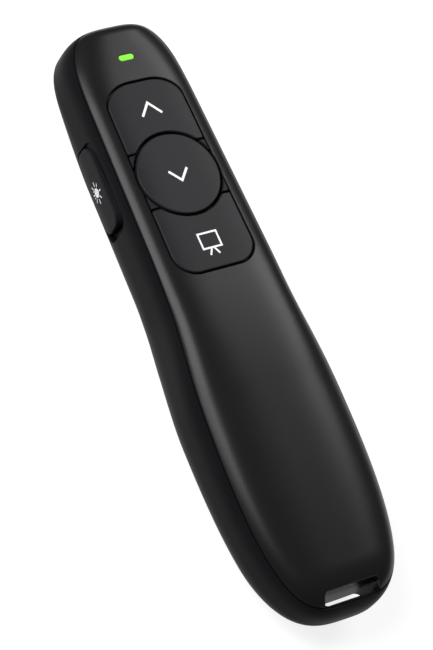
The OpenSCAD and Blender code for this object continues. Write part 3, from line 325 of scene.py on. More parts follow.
def combine(a, b, op):
    """Boolean of two closed meshes; b is used up."""
    modifier = a.modifiers.new("b", "BOOLEAN")
    modifier.object = b
    modifier.operation = op
    modifier.solver = "MANIFOLD"
    bpy.context.view_layer.update()
    used = a.data, b.data
    new = bpy.data.meshes.new_from_object(a.evaluated_get(bpy.context.evaluated_depsgraph_get()))
    a.modifiers.clear()
    a.data = new
    bpy.data.objects.remove(b)
    for mesh in used:
        bpy.data.meshes.remove(mesh)
    return a


def minus(a, *cutters):
    for c in cutters:
        combine(a, c, "DIFFERENCE")
    return a


def plus(a, *others):
    for c in others:
        combine(a, c, "UNION")
    return a


def both(a, b):
    return combine(a, b, "INTERSECT")


def body(inset, rings=60, sides=72):
    """The whole case, inset from its skin, with its rings closer together at the ends."""
    crowded, even = 0.8, 0.2
    i = np.arange(1, rings)
    y = ((nose_y - inset) * (crowded * np.cos(math.pi * i / rings) + even * (1 - 2 * i / rings)))[:, None]
    # the angles of equally spaced points on a section like the case's own
    guide_power, guide_w, guide_h = 3.6, 15, 11
    fine = np.linspace(0, 2 * math.pi, 2001)
    r = (np.abs(np.cos(fine)) ** guide_power + np.abs(np.sin(fine)) ** guide_power) ** (-1 / guide_power)
    px, pz = guide_w * r * np.cos(fine), guide_h * r * np.sin(fine)
    length = np.r_[0, np.cumsum(np.hypot(np.diff(px), np.diff(pz)))]
    phi = np.interp(np.arange(sides) * length[-1] / sides, length, fine)
    cos, sin = np.cos(phi)[None], np.sin(phi)[None]
    power = np.where(sin > 0, top_power(y), belly_power)
    rad = (np.abs(cos) ** power + np.abs(sin) ** power) ** (-1 / power)
    h = np.where(sin > 0, upper_h(y, inset), lower_h(y, inset))
    pts = np.stack([plan_w(y, inset) * rad * cos, y + 0 * cos, mid_z(y) + h * rad * sin], -1)
    nose, tail = ((0, end, float(mid_z(end))) for end in (nose_y - inset, tail_y + inset))
    verts = np.concatenate([[nose], pts.reshape(-1, 3), [tail]])
    end = (rings - 1) * sides + 1
    turn = [(j, (j + 1) % sides) for j in range(sides)]
    faces = [(0, 1 + j, 1 + k) for j, k in turn]
    faces += [(a + j, a + sides + j, a + sides + k, a + k)
              for a in range(1, end - sides, sides) for j, k in turn]
    faces += [(end, end - sides + k, end - sides + j) for j, k in turn]
    return solid(verts, faces)


def over_seam(lift, steps=24):
    """Everything above the parting line, raised by lift."""
    start = key_y - seam_from_keys
    line = [far + nose_y] + [start - seam_bend * i / steps for i in range(steps + 1)] + [tail_y - far]
    poly = [(y, float(seam_z(y)) + lift) for y in line]
    poly += [(tail_y - far, far + case_h), (far + nose_y, far + case_h)]
    return loft([[(x, y, z) for y, z in poly] for x in (-far, far)])


# ---------------------------------------------------------------- outlines in plan


def walk(loop):
    """A closed outline with its first point again at the end, and the distance run at each point."""
    q = np.vstack([loop, loop[:1]])
    return q, np.r_[0, np.cumsum(np.linalg.norm(np.diff(q, axis=0), axis=1))]


def resample(loop, n):
    """n points at equal distances along a closed outline."""
    q, run = walk(loop)
    s = np.arange(n) * run[-1] / n
    return np.stack([np.interp(s, run, column) for column in q.T], 1)


def dense(loop, step=0.3):
    loop = np.asarray(loop, float)
    return resample(loop, max(24, int(round(walk(loop)[1][-1] / step))))


def outward(loop):
    """Unit normals of a closed outline that runs counter-clockwise."""
    t = np.roll(loop, -1, 0) - np.roll(loop, 1, 0)
    t /= np.maximum(np.linalg.norm(t, axis=1, keepdims=True), 1e-9)
    return np.c_[t[:, 1], -t[:, 0]]


def ccw(loop):
    p = np.asarray(loop, float)
    area = np.sum(p[:, 0] * np.roll(p[:, 1], -1) - np.roll(p[:, 0], -1) * p[:, 1])
    return p if area > 0 else p[::-1]


def soften(loop, corners, cut, clear=0.02):
    """Rounds the named corners of a closed outline: a curve replaces cut on each side of each."""
    p = ccw(loop)
    q, run = walk(p)
    total = run[-1]

    def at(s):
        return np.array([np.interp(s % total, run, column) for column in q.T])

    marks = sorted((float(run[np.argmin(np.linalg.norm(p - c, axis=1))]), *c) for c in corners)
    out = []
    for i, (s, *corner) in enumerate(marks):
        a, b, c = at(s - cut), at(s + cut), np.array(corner)
        out += [(1 - u) ** 2 * a + 2 * u * (1 - u) * c + u * u * b for u in np.linspace(0, 1, 9)]
        after = marks[(i + 1) % len(marks)][0] + (total if i == len(marks) - 1 else 0)
        out += [at(v) for v in np.r_[run[:-1], run[:-1] + total] if s + cut + clear < v < after - cut - clear]
    return np.array(out)


def arc(centre, rx, ry, start, stop, steps=24):
    a = np.radians(np.linspace(start, stop, steps + 1))
    return np.c_[centre[0] + rx * np.cos(a), centre[1] + ry * np.sin(a)]


def pad_half_w(y):
    return pad_w / 2 - pad_taper * y


def pad_outline(g):
    """Outline of the key pad, grown by g."""
    rx, ry = pad_nose_corner
    up = (pad_half_w(pad_l / 2 - ry) - rx, pad_l / 2 - ry)
    low = (pad_half_w(pad_tail_r - pad_l / 2) - pad_tail_r, pad_tail_r - pad_l / 2)
    right = np.vstack([arc(low, pad_tail_r + g, pad_tail_r + g, -90, 0), arc(up, rx + g, ry + g, 0, 90)])
    return np.vstack([right, right[::-1] * [-1, 1]])


def stadium_outline(l, w):
    r, c = w / 2, (l - w) / 2
    return np.vstack([arc((c, 0), r, r, -90, 90), arc((-c, 0), r, r, 90, 270)])


def round_rect_outline(w, l, r):
    x, y = w / 2 - r, l / 2 - r
    corners = ((x, -y, -90), (x, y, 0), (-x, y, 90), (-x, -y, 180))
    return np.vstack([arc((cx, cy), r, r, a, a + 90, 10) for cx, cy, a in corners])


def circle_outline(r, steps=96):
    return arc((0, 0), r, r, 0, 360, steps)[:-1]


def keep_inside(loop, test):
    """Cuts a dense outline to the points that pass a test (one run)."""
    flags = np.array([bool(test(p)) for p in loop])
    start = next(i for i in range(len(loop)) if flags[i] and not flags[i - 1])
    flags = np.roll(flags, -start)
    return np.roll(loop, -start, 0)[:int(np.argmin(flags))]


def outer_key_outline(side):
    """Outline of the key above (+1) or below (-1) the round one."""
    cut_y = wedge_y + key_gap
    run = keep_inside(dense(ccw(pad_outline(-key_gap)), 0.1), lambda p: side * p[1] > cut_y)
    a0 = math.degrees(math.atan2(cut_y, math.sqrt(gap_r ** 2 - cut_y ** 2)))
    edge_x = float(pad_half_w(side * cut_y)) - key_gap
    # run goes counter-clockwise from first to last, and the cut comes back from last to first
    first, last = (side * edge_x, side * cut_y), (-side * edge_x, side * cut_y)
    back = arc((0, 0), gap_r, gap_r, a0, 180 - a0, 60) * [1, side]
    back = back[::-1] if side > 0 else back
    return soften(np.vstack([[first], run, [last], back]), [first, last, back[0], back[-1]], 0.5)


def wedge_outline(sx, sy):
    """Outline of one of the frame's four wedges beside the round key."""
    ys = np.linspace(0, wedge_y, 400)
    xs = pad_half_w(sy * ys) - key_gap
    k = np.argmax(np.hypot(xs, ys) > gap_r)
    side = np.c_[xs[k:], ys[k:]]
    a1 = math.degrees(math.atan2(wedge_y, math.sqrt(gap_r ** 2 - wedge_y ** 2)))
    a0 = math.degrees(math.atan2(ys[k], xs[k]))
    curve = arc((0, 0), gap_r, gap_r, a1, a0, 20)
    return ccw(soften(np.vstack([side, curve]), [side[0], side[-1], curve[0]], 0.22) * [sx, sy])


# ---------------------------------------------------------------- lips along openings

LIP_ANGLES = np.radians([20, 38, 56, 73, 90])
LIP_SLOPE = math.tan(LIP_ANGLES[0])
lip_over, lip_air, lip_overlap, seam_air, seam_overlap = 0.35, 1.0, 0.3, 0.5, 0.1


def lip_profile(r):
    """Sideways offset from the edge and depth under the skin, from the skin to the wall."""
    return [(r * (1 - math.sin(t)), r * (1 - math.cos(t))) for t in LIP_ANGLES]


def lip_cutter(loop, axes, r, span, sign=1, step=0.25):
    """Band that rounds the edge of an opening (sign 1) or of a plug in it (sign -1)."""
    p = dense(ccw(loop), step)
    m = sign * outward(p)
    profile = lip_profile(r)
    o, d = profile[0]
    q = p + m * (o + lip_over)
    top = skin_height(q, axes, span) + lip_over * LIP_SLOPE - d
    rows = [(q, top + lip_air), (q, top)]
    for o, d in profile:
        q = p + m * o
        rows.append((q, skin_height(q, axes, span) - d))
    q = p - m * lip_overlap
    base = skin_height(p, axes, span) - profile[-1][1]
    rows += [(q, base), (q, np.maximum(base + lip_air, rows[0][1]))]
    return ring(np.stack([place(q, axes, h) for q, h in rows], 1))


def seam_cutter(r):
    """Band along the parting line that rounds both of its edges."""

    def reach(y):
        return (seam_z(y) - mid_z(y)) / np.maximum(upper_h(y), 1e-6)

    def seam_end(inner, outer, halvings=60):
        for _ in range(halvings):
            m = (inner + outer) / 2
            inner, outer = (m, outer) if reach(m) < 1 else (inner, m)
        return inner

    first, last = seam_end(0.0, nose_y - 1e-3), seam_end(-40.0, tail_y + 1e-3)
    y = (first + last) / 2 + (first - last) / 2 * np.cos(np.linspace(0, math.pi, 3001))
    power = top_power(y)
    x = plan_w(y) * np.maximum(1 - np.minimum(reach(y), 1) ** power, 0) ** (1 / power)
    x[0] = x[-1] = 0
    pts = np.c_[x, y, seam_z(y)]
    c = resample(np.vstack([pts, (pts * [-1, 1, 1])[::-1][1:-1]]), 900)
    t = np.roll(c, -1, 0) - np.roll(c, 1, 0)
    t /= np.linalg.norm(t, axis=1, keepdims=True)
    out = skin_normal(c)
    up = np.cross(t, out)
    up /= np.linalg.norm(up, axis=1, keepdims=True)
    up = np.where(up[:, 2:3] < 0, -up, up)
    gap = seam_gap / 2
    half = [(d, gap + o) for o, d in lip_profile(r)]
    d, h = half[0]
    d = d - lip_over * LIP_SLOPE
    h = h + lip_over
    half = [(d - seam_air, h), (d, h)] + half + [(r + seam_overlap, gap)]
    profile = half + [(d, -h) for d, h in half[::-1]]
    return ring(np.stack([c - d * out + h * up for d, h in profile], 1))


# ---------------------------------------------------------------- shading, and millimetres to metres

SKIN_REACH, SKIN_AGREE, SHARP = 0.035, 0.9, 32
WELD, SLIVER = 2e-4, 1e-4


def shade(mesh, degrees=SHARP):
    """Smooth shading, sharp along edges that turn by more than an angle."""
    for poly in mesh.polygons:
        poly.use_smooth = True
    mesh.set_sharp_from_angle(angle=math.radians(degrees))


def read(items, attribute, width=1, kind=np.float32):
    """One attribute of a mesh's elements, as an array."""
    data = np.zeros(len(items) * width, kind)
    items.foreach_get(attribute, data)
    return data.reshape(-1, width) if width > 1 else data


def in_metres(obj, name, degrees=SHARP):
    shade(obj.data, degrees)
    obj.data.transform(Matrix.Scale(MM, 4))
    obj.name = obj.data.name = name
    return obj


def new_object(name, mesh):
    """An object in metres, from a mesh in millimetres."""
    mesh.transform(Matrix.Scale(MM, 4))
    obj = bpy.data.objects.new(name, mesh)
    scene.collection.objects.link(obj)
    return obj


def finish_mesh(obj, name):
    """Exact normals on the skin and angle-based ones elsewhere. Then millimetres to metres."""
    mesh = obj.data
    mesh.validate(verbose=False)
    bm = bmesh.new()
    bm.from_mesh(mesh)
    bmesh.ops.remove_doubles(bm, verts=bm.verts[:], dist=WELD)
    bmesh.ops.dissolve_degenerate(bm, edges=bm.edges[:], dist=SLIVER)
    bm.to_mesh(mesh)
    bm.free()
    shade(mesh)
    co = read(mesh.vertices, "co", 3).astype(float)
    vert = read(mesh.loops, "vertex_index", kind=np.int32)
    face_size = read(mesh.polygons, "loop_total", kind=np.int32)
    face_normal = read(mesh.polygons, "normal", 3)
    corner = read(mesh.corner_normals, "vector", 3)
    slope = skin_gradient(co)
    steep = np.maximum(np.linalg.norm(slope, axis=1), 1e-9)
    normal = slope / steep[:, None]
    on = np.abs(field(co) - 1) / steep < SKIN_REACH
    face_of = np.repeat(np.arange(len(face_size)), face_size)
    # a face is skin where all of its corners are, and it faces the way the skin does
    skin = np.ones(len(face_size), bool)
    np.logical_and.at(skin, face_of, on[vert])
    np.logical_and.at(skin, face_of, np.einsum("ij,ij->i", normal[vert], face_normal[face_of]) > SKIN_AGREE)
    use = skin[face_of]
    corner[use] = normal[vert][use]
    corner /= np.maximum(np.linalg.norm(corner, axis=1, keepdims=True), 1e-9)
    mesh.normals_split_custom_set([tuple(v) for v in corner])
    mesh.transform(Matrix.Scale(MM, 4))
    obj.name = mesh.name = name
    return obj


# ---------------------------------------------------------------- a cap that follows the skin

CAP_ANGLES = np.radians([0, 12, 26, 40, 55, 72, 90])
CAP_STEEP = 1.2


def fill_outline(loop, step=0.9):
    """Triangles inside a closed outline, with a grid of extra points."""
    lo, hi = loop.min(0), loop.max(0)
    a, b = loop, np.roll(loop, -1, 0)
    grid = [np.array((x, y)) for y in np.arange(lo[1] + step / 2, hi[1], step)
            for x in np.arange(lo[0] + step / 2, hi[0], step)]
    keep = []
    for p in grid:
        cross = ((a[:, 1] > p[1]) != (b[:, 1] > p[1])) & (
            p[0] < (b[:, 0] - a[:, 0]) * (p[1] - a[:, 1]) / (b[:, 1] - a[:, 1] + 1e-12) + a[:, 0])
        if cross.sum() % 2 and np.min(np.hypot(*(a - p).T)) > step * 0.45:
            keep.append(p)
    n = len(loop)
    rim = [(i, (i + 1) % n) for i in range(n)]
    res = delaunay_2d_cdt([Vector(p) for p in [*loop, *keep]], rim, [], 1, 1e-6)
    return np.array([tuple(v) for v in res[0]]), res[2], res[3]


def cap_piece(name, loop, axes, depth, r, span, lift=0.0, step=0.25):
    """A key cap: its top follows the skin, its edge is rounded, its wall goes down to depth."""
    p = dense(ccw(loop), step)
    m = outward(p)
    n = len(p)
    rows = []
    for t in CAP_ANGLES:
        q = p - m * r * (1 - math.sin(t))
        rows.append((q, skin_height(q, axes, span) + lift - r * (1 - math.cos(t)), t))
    rows.append((p, float(depth), math.pi / 2))
    aside = m[:, :1] * axes[1] + m[:, 1:2] * axes[2]
    verts, normals = [], []
    for q, h, t in rows:
        pts = place(q, axes, h)
        verts.append(pts)
        normals.append(math.cos(t) * (skin_normal(pts) if t < CAP_STEEP else axes[3]) + math.sin(t) * aside)
    # the triangles inside the first row
    points, triangles, origins = fill_outline(rows[0][0])
    index = {k: o[0] for k, o in enumerate(origins) if len(o) and o[0] < n}
    extra = [k for k in range(len(points)) if k not in index]
    index.update({k: len(rows) * n + i for i, k in enumerate(extra)})
    if extra:
        verts.append(place(points[extra], axes, skin_height(points[extra], axes, span) + lift))
        normals.append(skin_normal(verts[-1]))
    v, normal = np.concatenate(verts), np.concatenate(normals)
    normal /= np.maximum(np.linalg.norm(normal, axis=1, keepdims=True), 1e-9)
    turn = -1 if np.dot(np.cross(axes[1], axes[2]), axes[3]) < 0 else 1
    last = (len(rows) - 1) * n
    faces = [(k + j, k + n + j, k + n + (j + 1) % n, k + (j + 1) % n)[::turn]
             for k in range(0, last, n) for j in range(n)]
    for triangle in triangles:
        f = tuple(index[k] for k in triangle)
        a, b, c = v[list(f)]
        faces.append(f[::-1] if np.dot(np.cross(b - a, c - a), axes[3]) < 0 else f)
    faces.append(tuple(range(last, last + n))[::-turn])
    mesh = bpy.data.meshes.new(name)
    mesh.from_pydata([tuple(x) for x in v], [], faces)
    for poly in mesh.polygons:
        poly.use_smooth = True
    corner = [tuple(normal[i]) for f in faces[:-1] for i in f] + [tuple(-axes[3])] * n
    mesh.normals_split_custom_set(corner)
    return new_object(name, mesh)


def join(name, *objs):
    """One object from several, all in metres already."""
    bpy.ops.object.select_all(action="DESELECT")
    for o in objs:
        o.select_set(True)
    bpy.context.view_layer.objects.active = objs[0]
    bpy.ops.object.join()
    objs[0].name = objs[0].data.name = name
    return objs[0]


def piece(obj, body_name, node):
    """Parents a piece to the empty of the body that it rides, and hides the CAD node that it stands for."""
    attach(obj, body_name)
    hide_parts(node)
    return obj


# ---------------------------------------------------------------- derived places

cell_x = cell_r + cell_gap / 2
bay_half_w = 2 * cell_r + cell_gap / 2 + bay_clear


def belly_z(x, y):
    return float(mid_z(y) - lower_h(y) * (1 - (abs(x) / plan_w(y)) ** belly_power) ** (1 / belly_power))


def boss_z(y):
    return float(seam_z(y)) - boss_drop


cell_z = cell_r + bay_clear + door_t + belly_z(cell_x, bay_end + plate_t)
bay_roof = cell_z + cell_r + bay_clear
rib_t = door_w / 2 - bay_half_w + bay_t
door_front = bay_front + door_reach
door_l = bay_l + 2 * door_reach
hook_z = door_t + 2 * door_gap
slot_y = tail_y + slot_from_tail
receiver_y = key_y + receiver_from_keys
receiver_z = under_z + receiver_inset
receiver_all = receiver_l + plug_l
board_tail_y = bay_front + rib_t + 2 * board_clear
case_boss_r = screw_head_r + screw_play + case_boss_wall
screw_rows = [(nose_screw[0], nose_y - nose_screw[1]), (tail_screw[0], tail_y + tail_screw[1])]
screws = [(side * x, y) for x, y in screw_rows for side in (-1, 1)]
stakes = [(x * stake_x, key_y + y * stake_y) for x in (-1, 1) for y in (-1, 1)]
barrel_z = board_low - barrel_drop - barrel_r
barrel_y = key_y + barrel_front
plate_w = 2 * (spring_r + plate_edge)
# the window stands behind the first place where the case is deep enough for it
nose_steps = nose_y - 0.02 * np.arange(401)
deep_enough = next(y for y in nose_steps if mid_z(y) - lower_h(y) <= barrel_z - window_r)
window_y = deep_enough - window_inset - window_t

key_axes = above(0, key_y)
lens_axes = above(0, key_y + lens_from_keys)
door_axes = below(0, door_front - door_l / 2)
receiver_axes = below(0, receiver_y - receiver_all / 2)
side_axes, knob_axes = side_frame(-1), side_frame(1)
# heights along a frame's normal between which the skin lies
TOP_SPAN, BELLY_SPAN, WALL_SPAN, SEAT_SPAN, TAIL_SPAN = (
    (case_h - 5, case_h + 3), (-8, 3), (-6, 2), (-16, 3), (6, case_h + 3))

door_loop = round_rect_outline(door_w, door_l, door_r)
lid_loop = round_rect_outline(door_w - 2 * door_gap, door_l - 2 * door_gap, door_r - door_gap)
receiver_loop = round_rect_outline(receiver_w + 2 * receiver_clear, receiver_all + 2 * receiver_clear, 0.5)
knob_hole_l = knob_l + knob_travel + 2 * knob_gap
knob_hole_h = knob_h + 2 * knob_gap
knob_loop = round_rect_outline(knob_hole_l, knob_hole_h, 0.4)


def side_button_outline(grow, above_it=0.0, behind_it=0.0):
    l, h = side_l + 2 * grow + behind_it, side_h + 2 * grow + above_it
    loop = round_rect_outline(l, h, side_corner_r + grow)
    return dense(loop) + np.array([behind_it / 2 - side_shift[0], above_it / 2 - side_shift[1]])


def key_opening():
    """The pad's outline with the round key's bulges at its sides."""
    pad = dense(ccw(pad_outline(0)), 0.1)
    hidden = [np.hypot(*p) < gap_r for p in pad]
    n = len(pad)
    out = []
    for i, p in enumerate(pad):
        if hidden[i]:
            continue
        out.append(p)
        j = (i + 1) % n
        if hidden[j]:
            while hidden[j]:
                j = (j + 1) % n
            a0, a1 = (math.degrees(math.atan2(q[1], q[0])) for q in (p, pad[j]))
            if a1 < a0 - 180:
                a1 += 360
            if a1 > a0 + 180:
                a1 -= 360
            out += list(arc((0, 0), gap_r, gap_r, a0, a1, 40)[1:-1])
    return np.array(out)


def open_up(shell, loop, axes, low, high, r, span, step):
    """Cuts an opening with rounded edges."""
    minus(shell, prism(dense(loop, step), axes, low, high), lip_cutter(loop, axes, r, span, step=step))


def below_floor():
    return box((-far, tail_y - far, -far), (far, far * 2, 0))


# ---------------------------------------------------------------- top cover

cover = minus(body(0, *SKIN), body(wall))
both(cover, over_seam(seam_gap / 2))
for x, y in screws:
    power, h, w = (float(value) for value in (top_power(y), upper_h(y, wall / 2), plan_w(y, wall / 2)))
    high = float(mid_z(y)) + h * (1 - ((abs(x) + boss_r / 2) / w) ** power) ** (1 / power)
    plus(cover, cylinder((x, y), boss_r, boss_z(y), high))
for stake in stakes:
    plus(cover, cylinder(stake, stake_r + stake_shoulder, case_h - frame_top, case_h - wall / 2),
         cylinder(stake, stake_r, case_h - frame_top - frame_t, case_h - wall / 2))
under_cover, over_cover = case_h - wall - 1, case_h + 1
open_up(cover, key_opening(), key_axes, under_cover, over_cover, key_lip, TOP_SPAN, 0.2)
open_up(cover, stadium_outline(lens_w + lens_play, lens_t + lens_play), lens_axes, under_cover, over_cover,
        lens_lip, TOP_SPAN, 0.1)
cover_slot_l = slot_from_tail + slot_l + cover_slot_over
open_up(cover, round_rect_outline(slot_w, cover_slot_l, cover_slot_r),
        above(0, tail_y - cover_slot_over + cover_slot_l / 2), 0, over_cover, slot_lip, TAIL_SPAN, 0.2)
minus(cover, seam_cutter(seam_lip))
for x, y in screws:
    minus(cover, cylinder((x, y), screw_r, boss_z(y) - eps, boss_z(y) + screw_bite))
cover = piece(finish_mesh(cover, "cover_shell"), "case", "top_cover")

# ---------------------------------------------------------------- bottom case

# solid blocks and posts first, trimmed to the wall's middle and added to the shell
inner = box((-bay_half_w - rib_t, bay_end - rib_t, 0),
            (bay_half_w + rib_t, bay_front + rib_t, bay_roof + bay_t))
pocket_x = receiver_w / 2 + receiver_clear + bay_t
plus(inner, box((-pocket_x, receiver_y - receiver_all - receiver_clear - bay_t, 0),
                (pocket_x, receiver_y + receiver_clear + bay_t,
                 receiver_z + receiver_h + receiver_clear + bay_t)))
for side in (-1, 1):
    for y in (key_y + post_nose, board_tail_y + post_tail):
        plus(inner, cylinder((side * post_x, y), post_r, 0, board_low))
    for x, y in screw_rows:
        plus(inner, cylinder((side * x, y), case_boss_r, 0, boss_z(y)))
for y in (barrel_front - 2 * rib_w, barrel_front - barrel_l + rib_w):
    plus(inner, box((-barrel_r - rib_w, key_y + y, 0), (barrel_r + rib_w, key_y + y + rib_w, barrel_z)))
plus(inner, cylinder((0, barrel_z), window_r + rib_w, window_y - rib_w, far + 20, axis=1))
tube_top = boss_z(screw_rows[1][1]) - rib_w
slot_top = float(seam_z(slot_y))
upper_flare = min(max((slot_top - tube_top) / slot_top, 0), 1)
for low, high, share in ((tube_top, case_h, upper_flare), (0, tube_top, 1)):
    w = slot_w / 2 + slot_wall + slot_flare * share
    plus(inner, box((-w, tail_y, low),
                    (w, tail_y + slot_from_tail + slot_l + slot_draft * share + slot_wall, high)))
both(inner, body(wall / 2))
case = minus(body(0, *SKIN), body(wall))
plus(case, inner)
minus(case, over_seam(-seam_gap / 2), below_floor())

# well for the keys, battery bay and the gaps beside its contacts
well_l = keys_from_nose - well_rim
tail_l = frame_l / 2 + well_clear
nose_x, tail_x = well_half_w - well_nose_r, well_half_w - well_tail_r
well = np.vstack([arc((tail_x, well_tail_r - tail_l), well_tail_r, well_tail_r, -90, 0),
                  arc((nose_x, well_l - well_nose_r), well_nose_r, well_nose_r, 0, 90),
                  arc((-nose_x, well_l - well_nose_r), well_nose_r, well_nose_r, 90, 180),
                  arc((-tail_x, well_tail_r - tail_l), well_tail_r, well_tail_r, 180, 270)])
minus(case, prism(well, key_axes, case_h - well_depth, case_h + far),
      box((-bay_half_w, bay_end, -1), (bay_half_w, bay_front, bay_roof)))
tab_low = cell_z + plate_w / 2 - plate_t
tab_front = bay_front + (rib_t + tab_stand) + plate_t
for x in (-cell_x, cell_x):
    minus(case, box((x - tab_w / 2 - board_clear, bay_front - eps, tab_low - board_clear),
                    (x + tab_w / 2 + board_clear, tab_front, tab_low + plate_t + board_clear)))

# door opening, with room for the hook and the tongue
minus(case, minus(prism(dense(door_loop, 0.5), door_axes, -bay_roof + 1, 1), body(door_t + door_gap)),
      lip_cutter(door_loop, door_axes, door_lip, BELLY_SPAN))
hook_x, tongue_x = hook_w / 2 + door_gap, tongue_w / 2 + door_gap
minus(case, box((-hook_x, bay_front - eps, hook_z - door_gap),
                (hook_x, bay_front + door_reach + hook_reach + 2 * door_gap, hook_z + hook_t + hook_swing)),
      box((-hook_x, bay_front - eps, 0), (hook_x, door_front + eps, hook_z)),
      box((-tongue_x, bay_end - door_reach - door_gap, 0),
          (tongue_x, bay_end + eps, door_t + tongue_h + 2 * door_gap)))

# receiver pocket, pointer button, power slide and pointer
minus(case, prism(receiver_loop, receiver_axes, -(receiver_z + receiver_h + receiver_clear), 1),
      lip_cutter(receiver_loop, receiver_axes, grip_lip, BELLY_SPAN),
      cylinder((0, receiver_y + receiver_clear), notch_r,
               under_z - 1, under_z + receiver_inset + wall - bay_t))
scoop_loop = side_button_outline(side_gap / 2, *scoop_reach)
minus(case, prism(side_button_outline(side_gap), side_axes, -wall - 1, 2),
      prism(side_button_outline(side_reach + side_gap), side_axes, -wall - side_pocket, -wall),
      prism(scoop_loop, side_axes, -scoop_depth, 2),
      lip_cutter(scoop_loop, side_axes, grip_lip, WALL_SPAN))
knob_pocket = round_rect_outline(knob_hole_l + 2 * knob_reach, knob_hole_h + 2 * knob_reach, 0.3)
minus(case, prism(knob_loop, knob_axes, -wall - 1, 2),
      prism(knob_pocket, knob_axes, -wall - side_pocket, -wall),
      lip_cutter(knob_loop, knob_axes, knob_lip, WALL_SPAN))
minus(case, cylinder((0, barrel_z), window_r, window_y, far + 20, axis=1),
      cylinder((0, barrel_z), window_r - window_ledge, barrel_y, far + 20, axis=1),
      cylinder((0, barrel_z), barrel_r, key_y + barrel_front - barrel_l, barrel_y, axis=1))

# screws, lanyard slot and parting line
for x, y in screws:
    c, z = (x, y), boss_z(y)
    minus(case, cylinder(c, screw_r + screw_play, -far, z + eps),
          cylinder(c, screw_head_r + screw_play, -far, z - screw_seat_t),
          cylinder(c, boss_r + seam_gap / 2, z, z + far),
          lip_cutter(circle_outline(screw_head_r + screw_play), below(*c), seat_lip, SEAT_SPAN, step=0.2))
slot_loop = round_rect_outline(slot_w, slot_l, slot_r)
slot_mouth = round_rect_outline(slot_w + 2 * slot_flare, slot_l + slot_draft, slot_r)
minus(case, loft([place(slot_loop, above(0, slot_y + slot_l / 2), case_h + far),
                  place(slot_loop, above(0, slot_y + slot_l / 2), slot_top),
                  place(slot_mouth, above(0, slot_y + (slot_l + slot_draft) / 2), -eps)]),
      seam_cutter(seam_lip))
case = piece(finish_mesh(case, "case_shell"), "case", "bottom_case")

# ---------------------------------------------------------------- battery door

door = both(minus(body(0, *SKIN), body(door_t)), prism(dense(lid_loop, 0.5), door_axes, -bay_roof + 1, 1))
minus(door, below_floor(), lip_cutter(lid_loop, door_axes, door_lip, BELLY_SPAN, sign=-1))
hook_y, tongue_y = bay_front - door_gap, bay_end - 2 * door_gap
plus(door, box((-hook_w / 2, hook_y - hook_web, wall / 2), (hook_w / 2, hook_y, hook_z + hook_t)),
     box((-hook_w / 2, hook_y - hook_web, hook_z),
         (hook_w / 2, hook_y + door_reach + hook_reach, hook_z + hook_t)),
     box((-tongue_w / 2, tongue_y - tongue_t, wall / 2), (tongue_w / 2, tongue_y, door_t + tongue_h)))
door = piece(finish_mesh(door, "door_shell"), "door", "battery_door")

# ---------------------------------------------------------------- keys


def plunger(y):
    top = case_h - flange_low + bite
    return in_metres(cylinder((0, key_y + y), plunger_r, case_h - stem_top, top), "plunger")


def key_cap(name, loop, r):
    return cap_piece(name, loop, key_axes, case_h - cap_t - cap_sink, r, TOP_SPAN)


def outer_key(name, side, node):
    """The key above (+1) or below (-1) the round one: cap, flange and plunger."""
    loop = outer_key_outline(side)
    cap = key_cap(name, loop, key_edge)
    wide = ccw(dense(loop))
    wide = wide + outward(wide) * (flange_reach - cap_sink)
    centre = np.hypot(*wide.T)
    low = centre < gap_r
    wide[low] *= (gap_r / centre[low])[:, None]
    flange = in_metres(prism(wide, key_axes, case_h - flange_low, case_h - cap_t), "flange")
    return piece(join(name, cap, flange, plunger(side * key_pitch)), name, node)


up_key = outer_key("up_key", 1, "up_button")
screen_key = outer_key("screen_key", -1, "screen_button")
round_loop = circle_outline(round_r, 180)
round_cap = key_cap("down_key", round_loop, round_edge)
round_skirt = in_metres(prism(round_loop, key_axes, case_h - flange_low, case_h - cap_t), "skirt")
ear_x = pad_w / 2 + flange_reach
ears = in_metres(box((-ear_x, key_y - plunger_r, case_h - flange_low),
                     (ear_x, key_y + plunger_r, case_h - cap_t)), "ears")
down_key = join("down_key", round_cap, round_skirt, ears, plunger(0))
piece(down_key, "down_key", "down_button")

# frame under the keys, with the wedges beside the round one
plate = prism(round_rect_outline(frame_w, frame_l, frame_corner_r), key_axes, case_h - frame_top - frame_t,
              case_h - frame_top)
for y in (key_pitch, 0, -key_pitch):
    minus(plate, cylinder((0, key_y + y), plunger_r + plunger_clear, 10, 30))
for stake in stakes:
    minus(plate, cylinder(stake, stake_r, 10, 30))
wedges = [cap_piece("wedge", wedge_outline(x, y), key_axes, case_h - frame_top - bite, wedge_edge, TOP_SPAN,
                    step=0.12) for x in (-1, 1) for y in (-1, 1)]
key_frame = piece(join("wedge_frame", in_metres(plate, "plate"), *wedges), "case", "key_frame")

# ---------------------------------------------------------------- pointer button

side_cap = cap_piece("pointer_key", side_button_outline(0), side_axes, -side_cap_t, side_edge, WALL_SPAN,
                     lift=side_lift)
side_flange = in_metres(prism(side_button_outline(side_reach), side_axes,
                              -wall - key_clear - side_flange_t, -wall - key_clear), "side_flange")
side_rod = in_metres(cylinder((key_y + side_y, board_low - side_switch_h / 2), side_rod_r,
                              -(float(plan_w(key_y + side_y)) - wall - key_clear),
                              -(board_w / 2 - side_switch_inset + side_stem_proud), axis=0), "side_rod")
pointer_key = piece(join("pointer_key", side_cap, side_flange, side_rod), "laser_key", "laser_button")

# ---------------------------------------------------------------- indicator lens

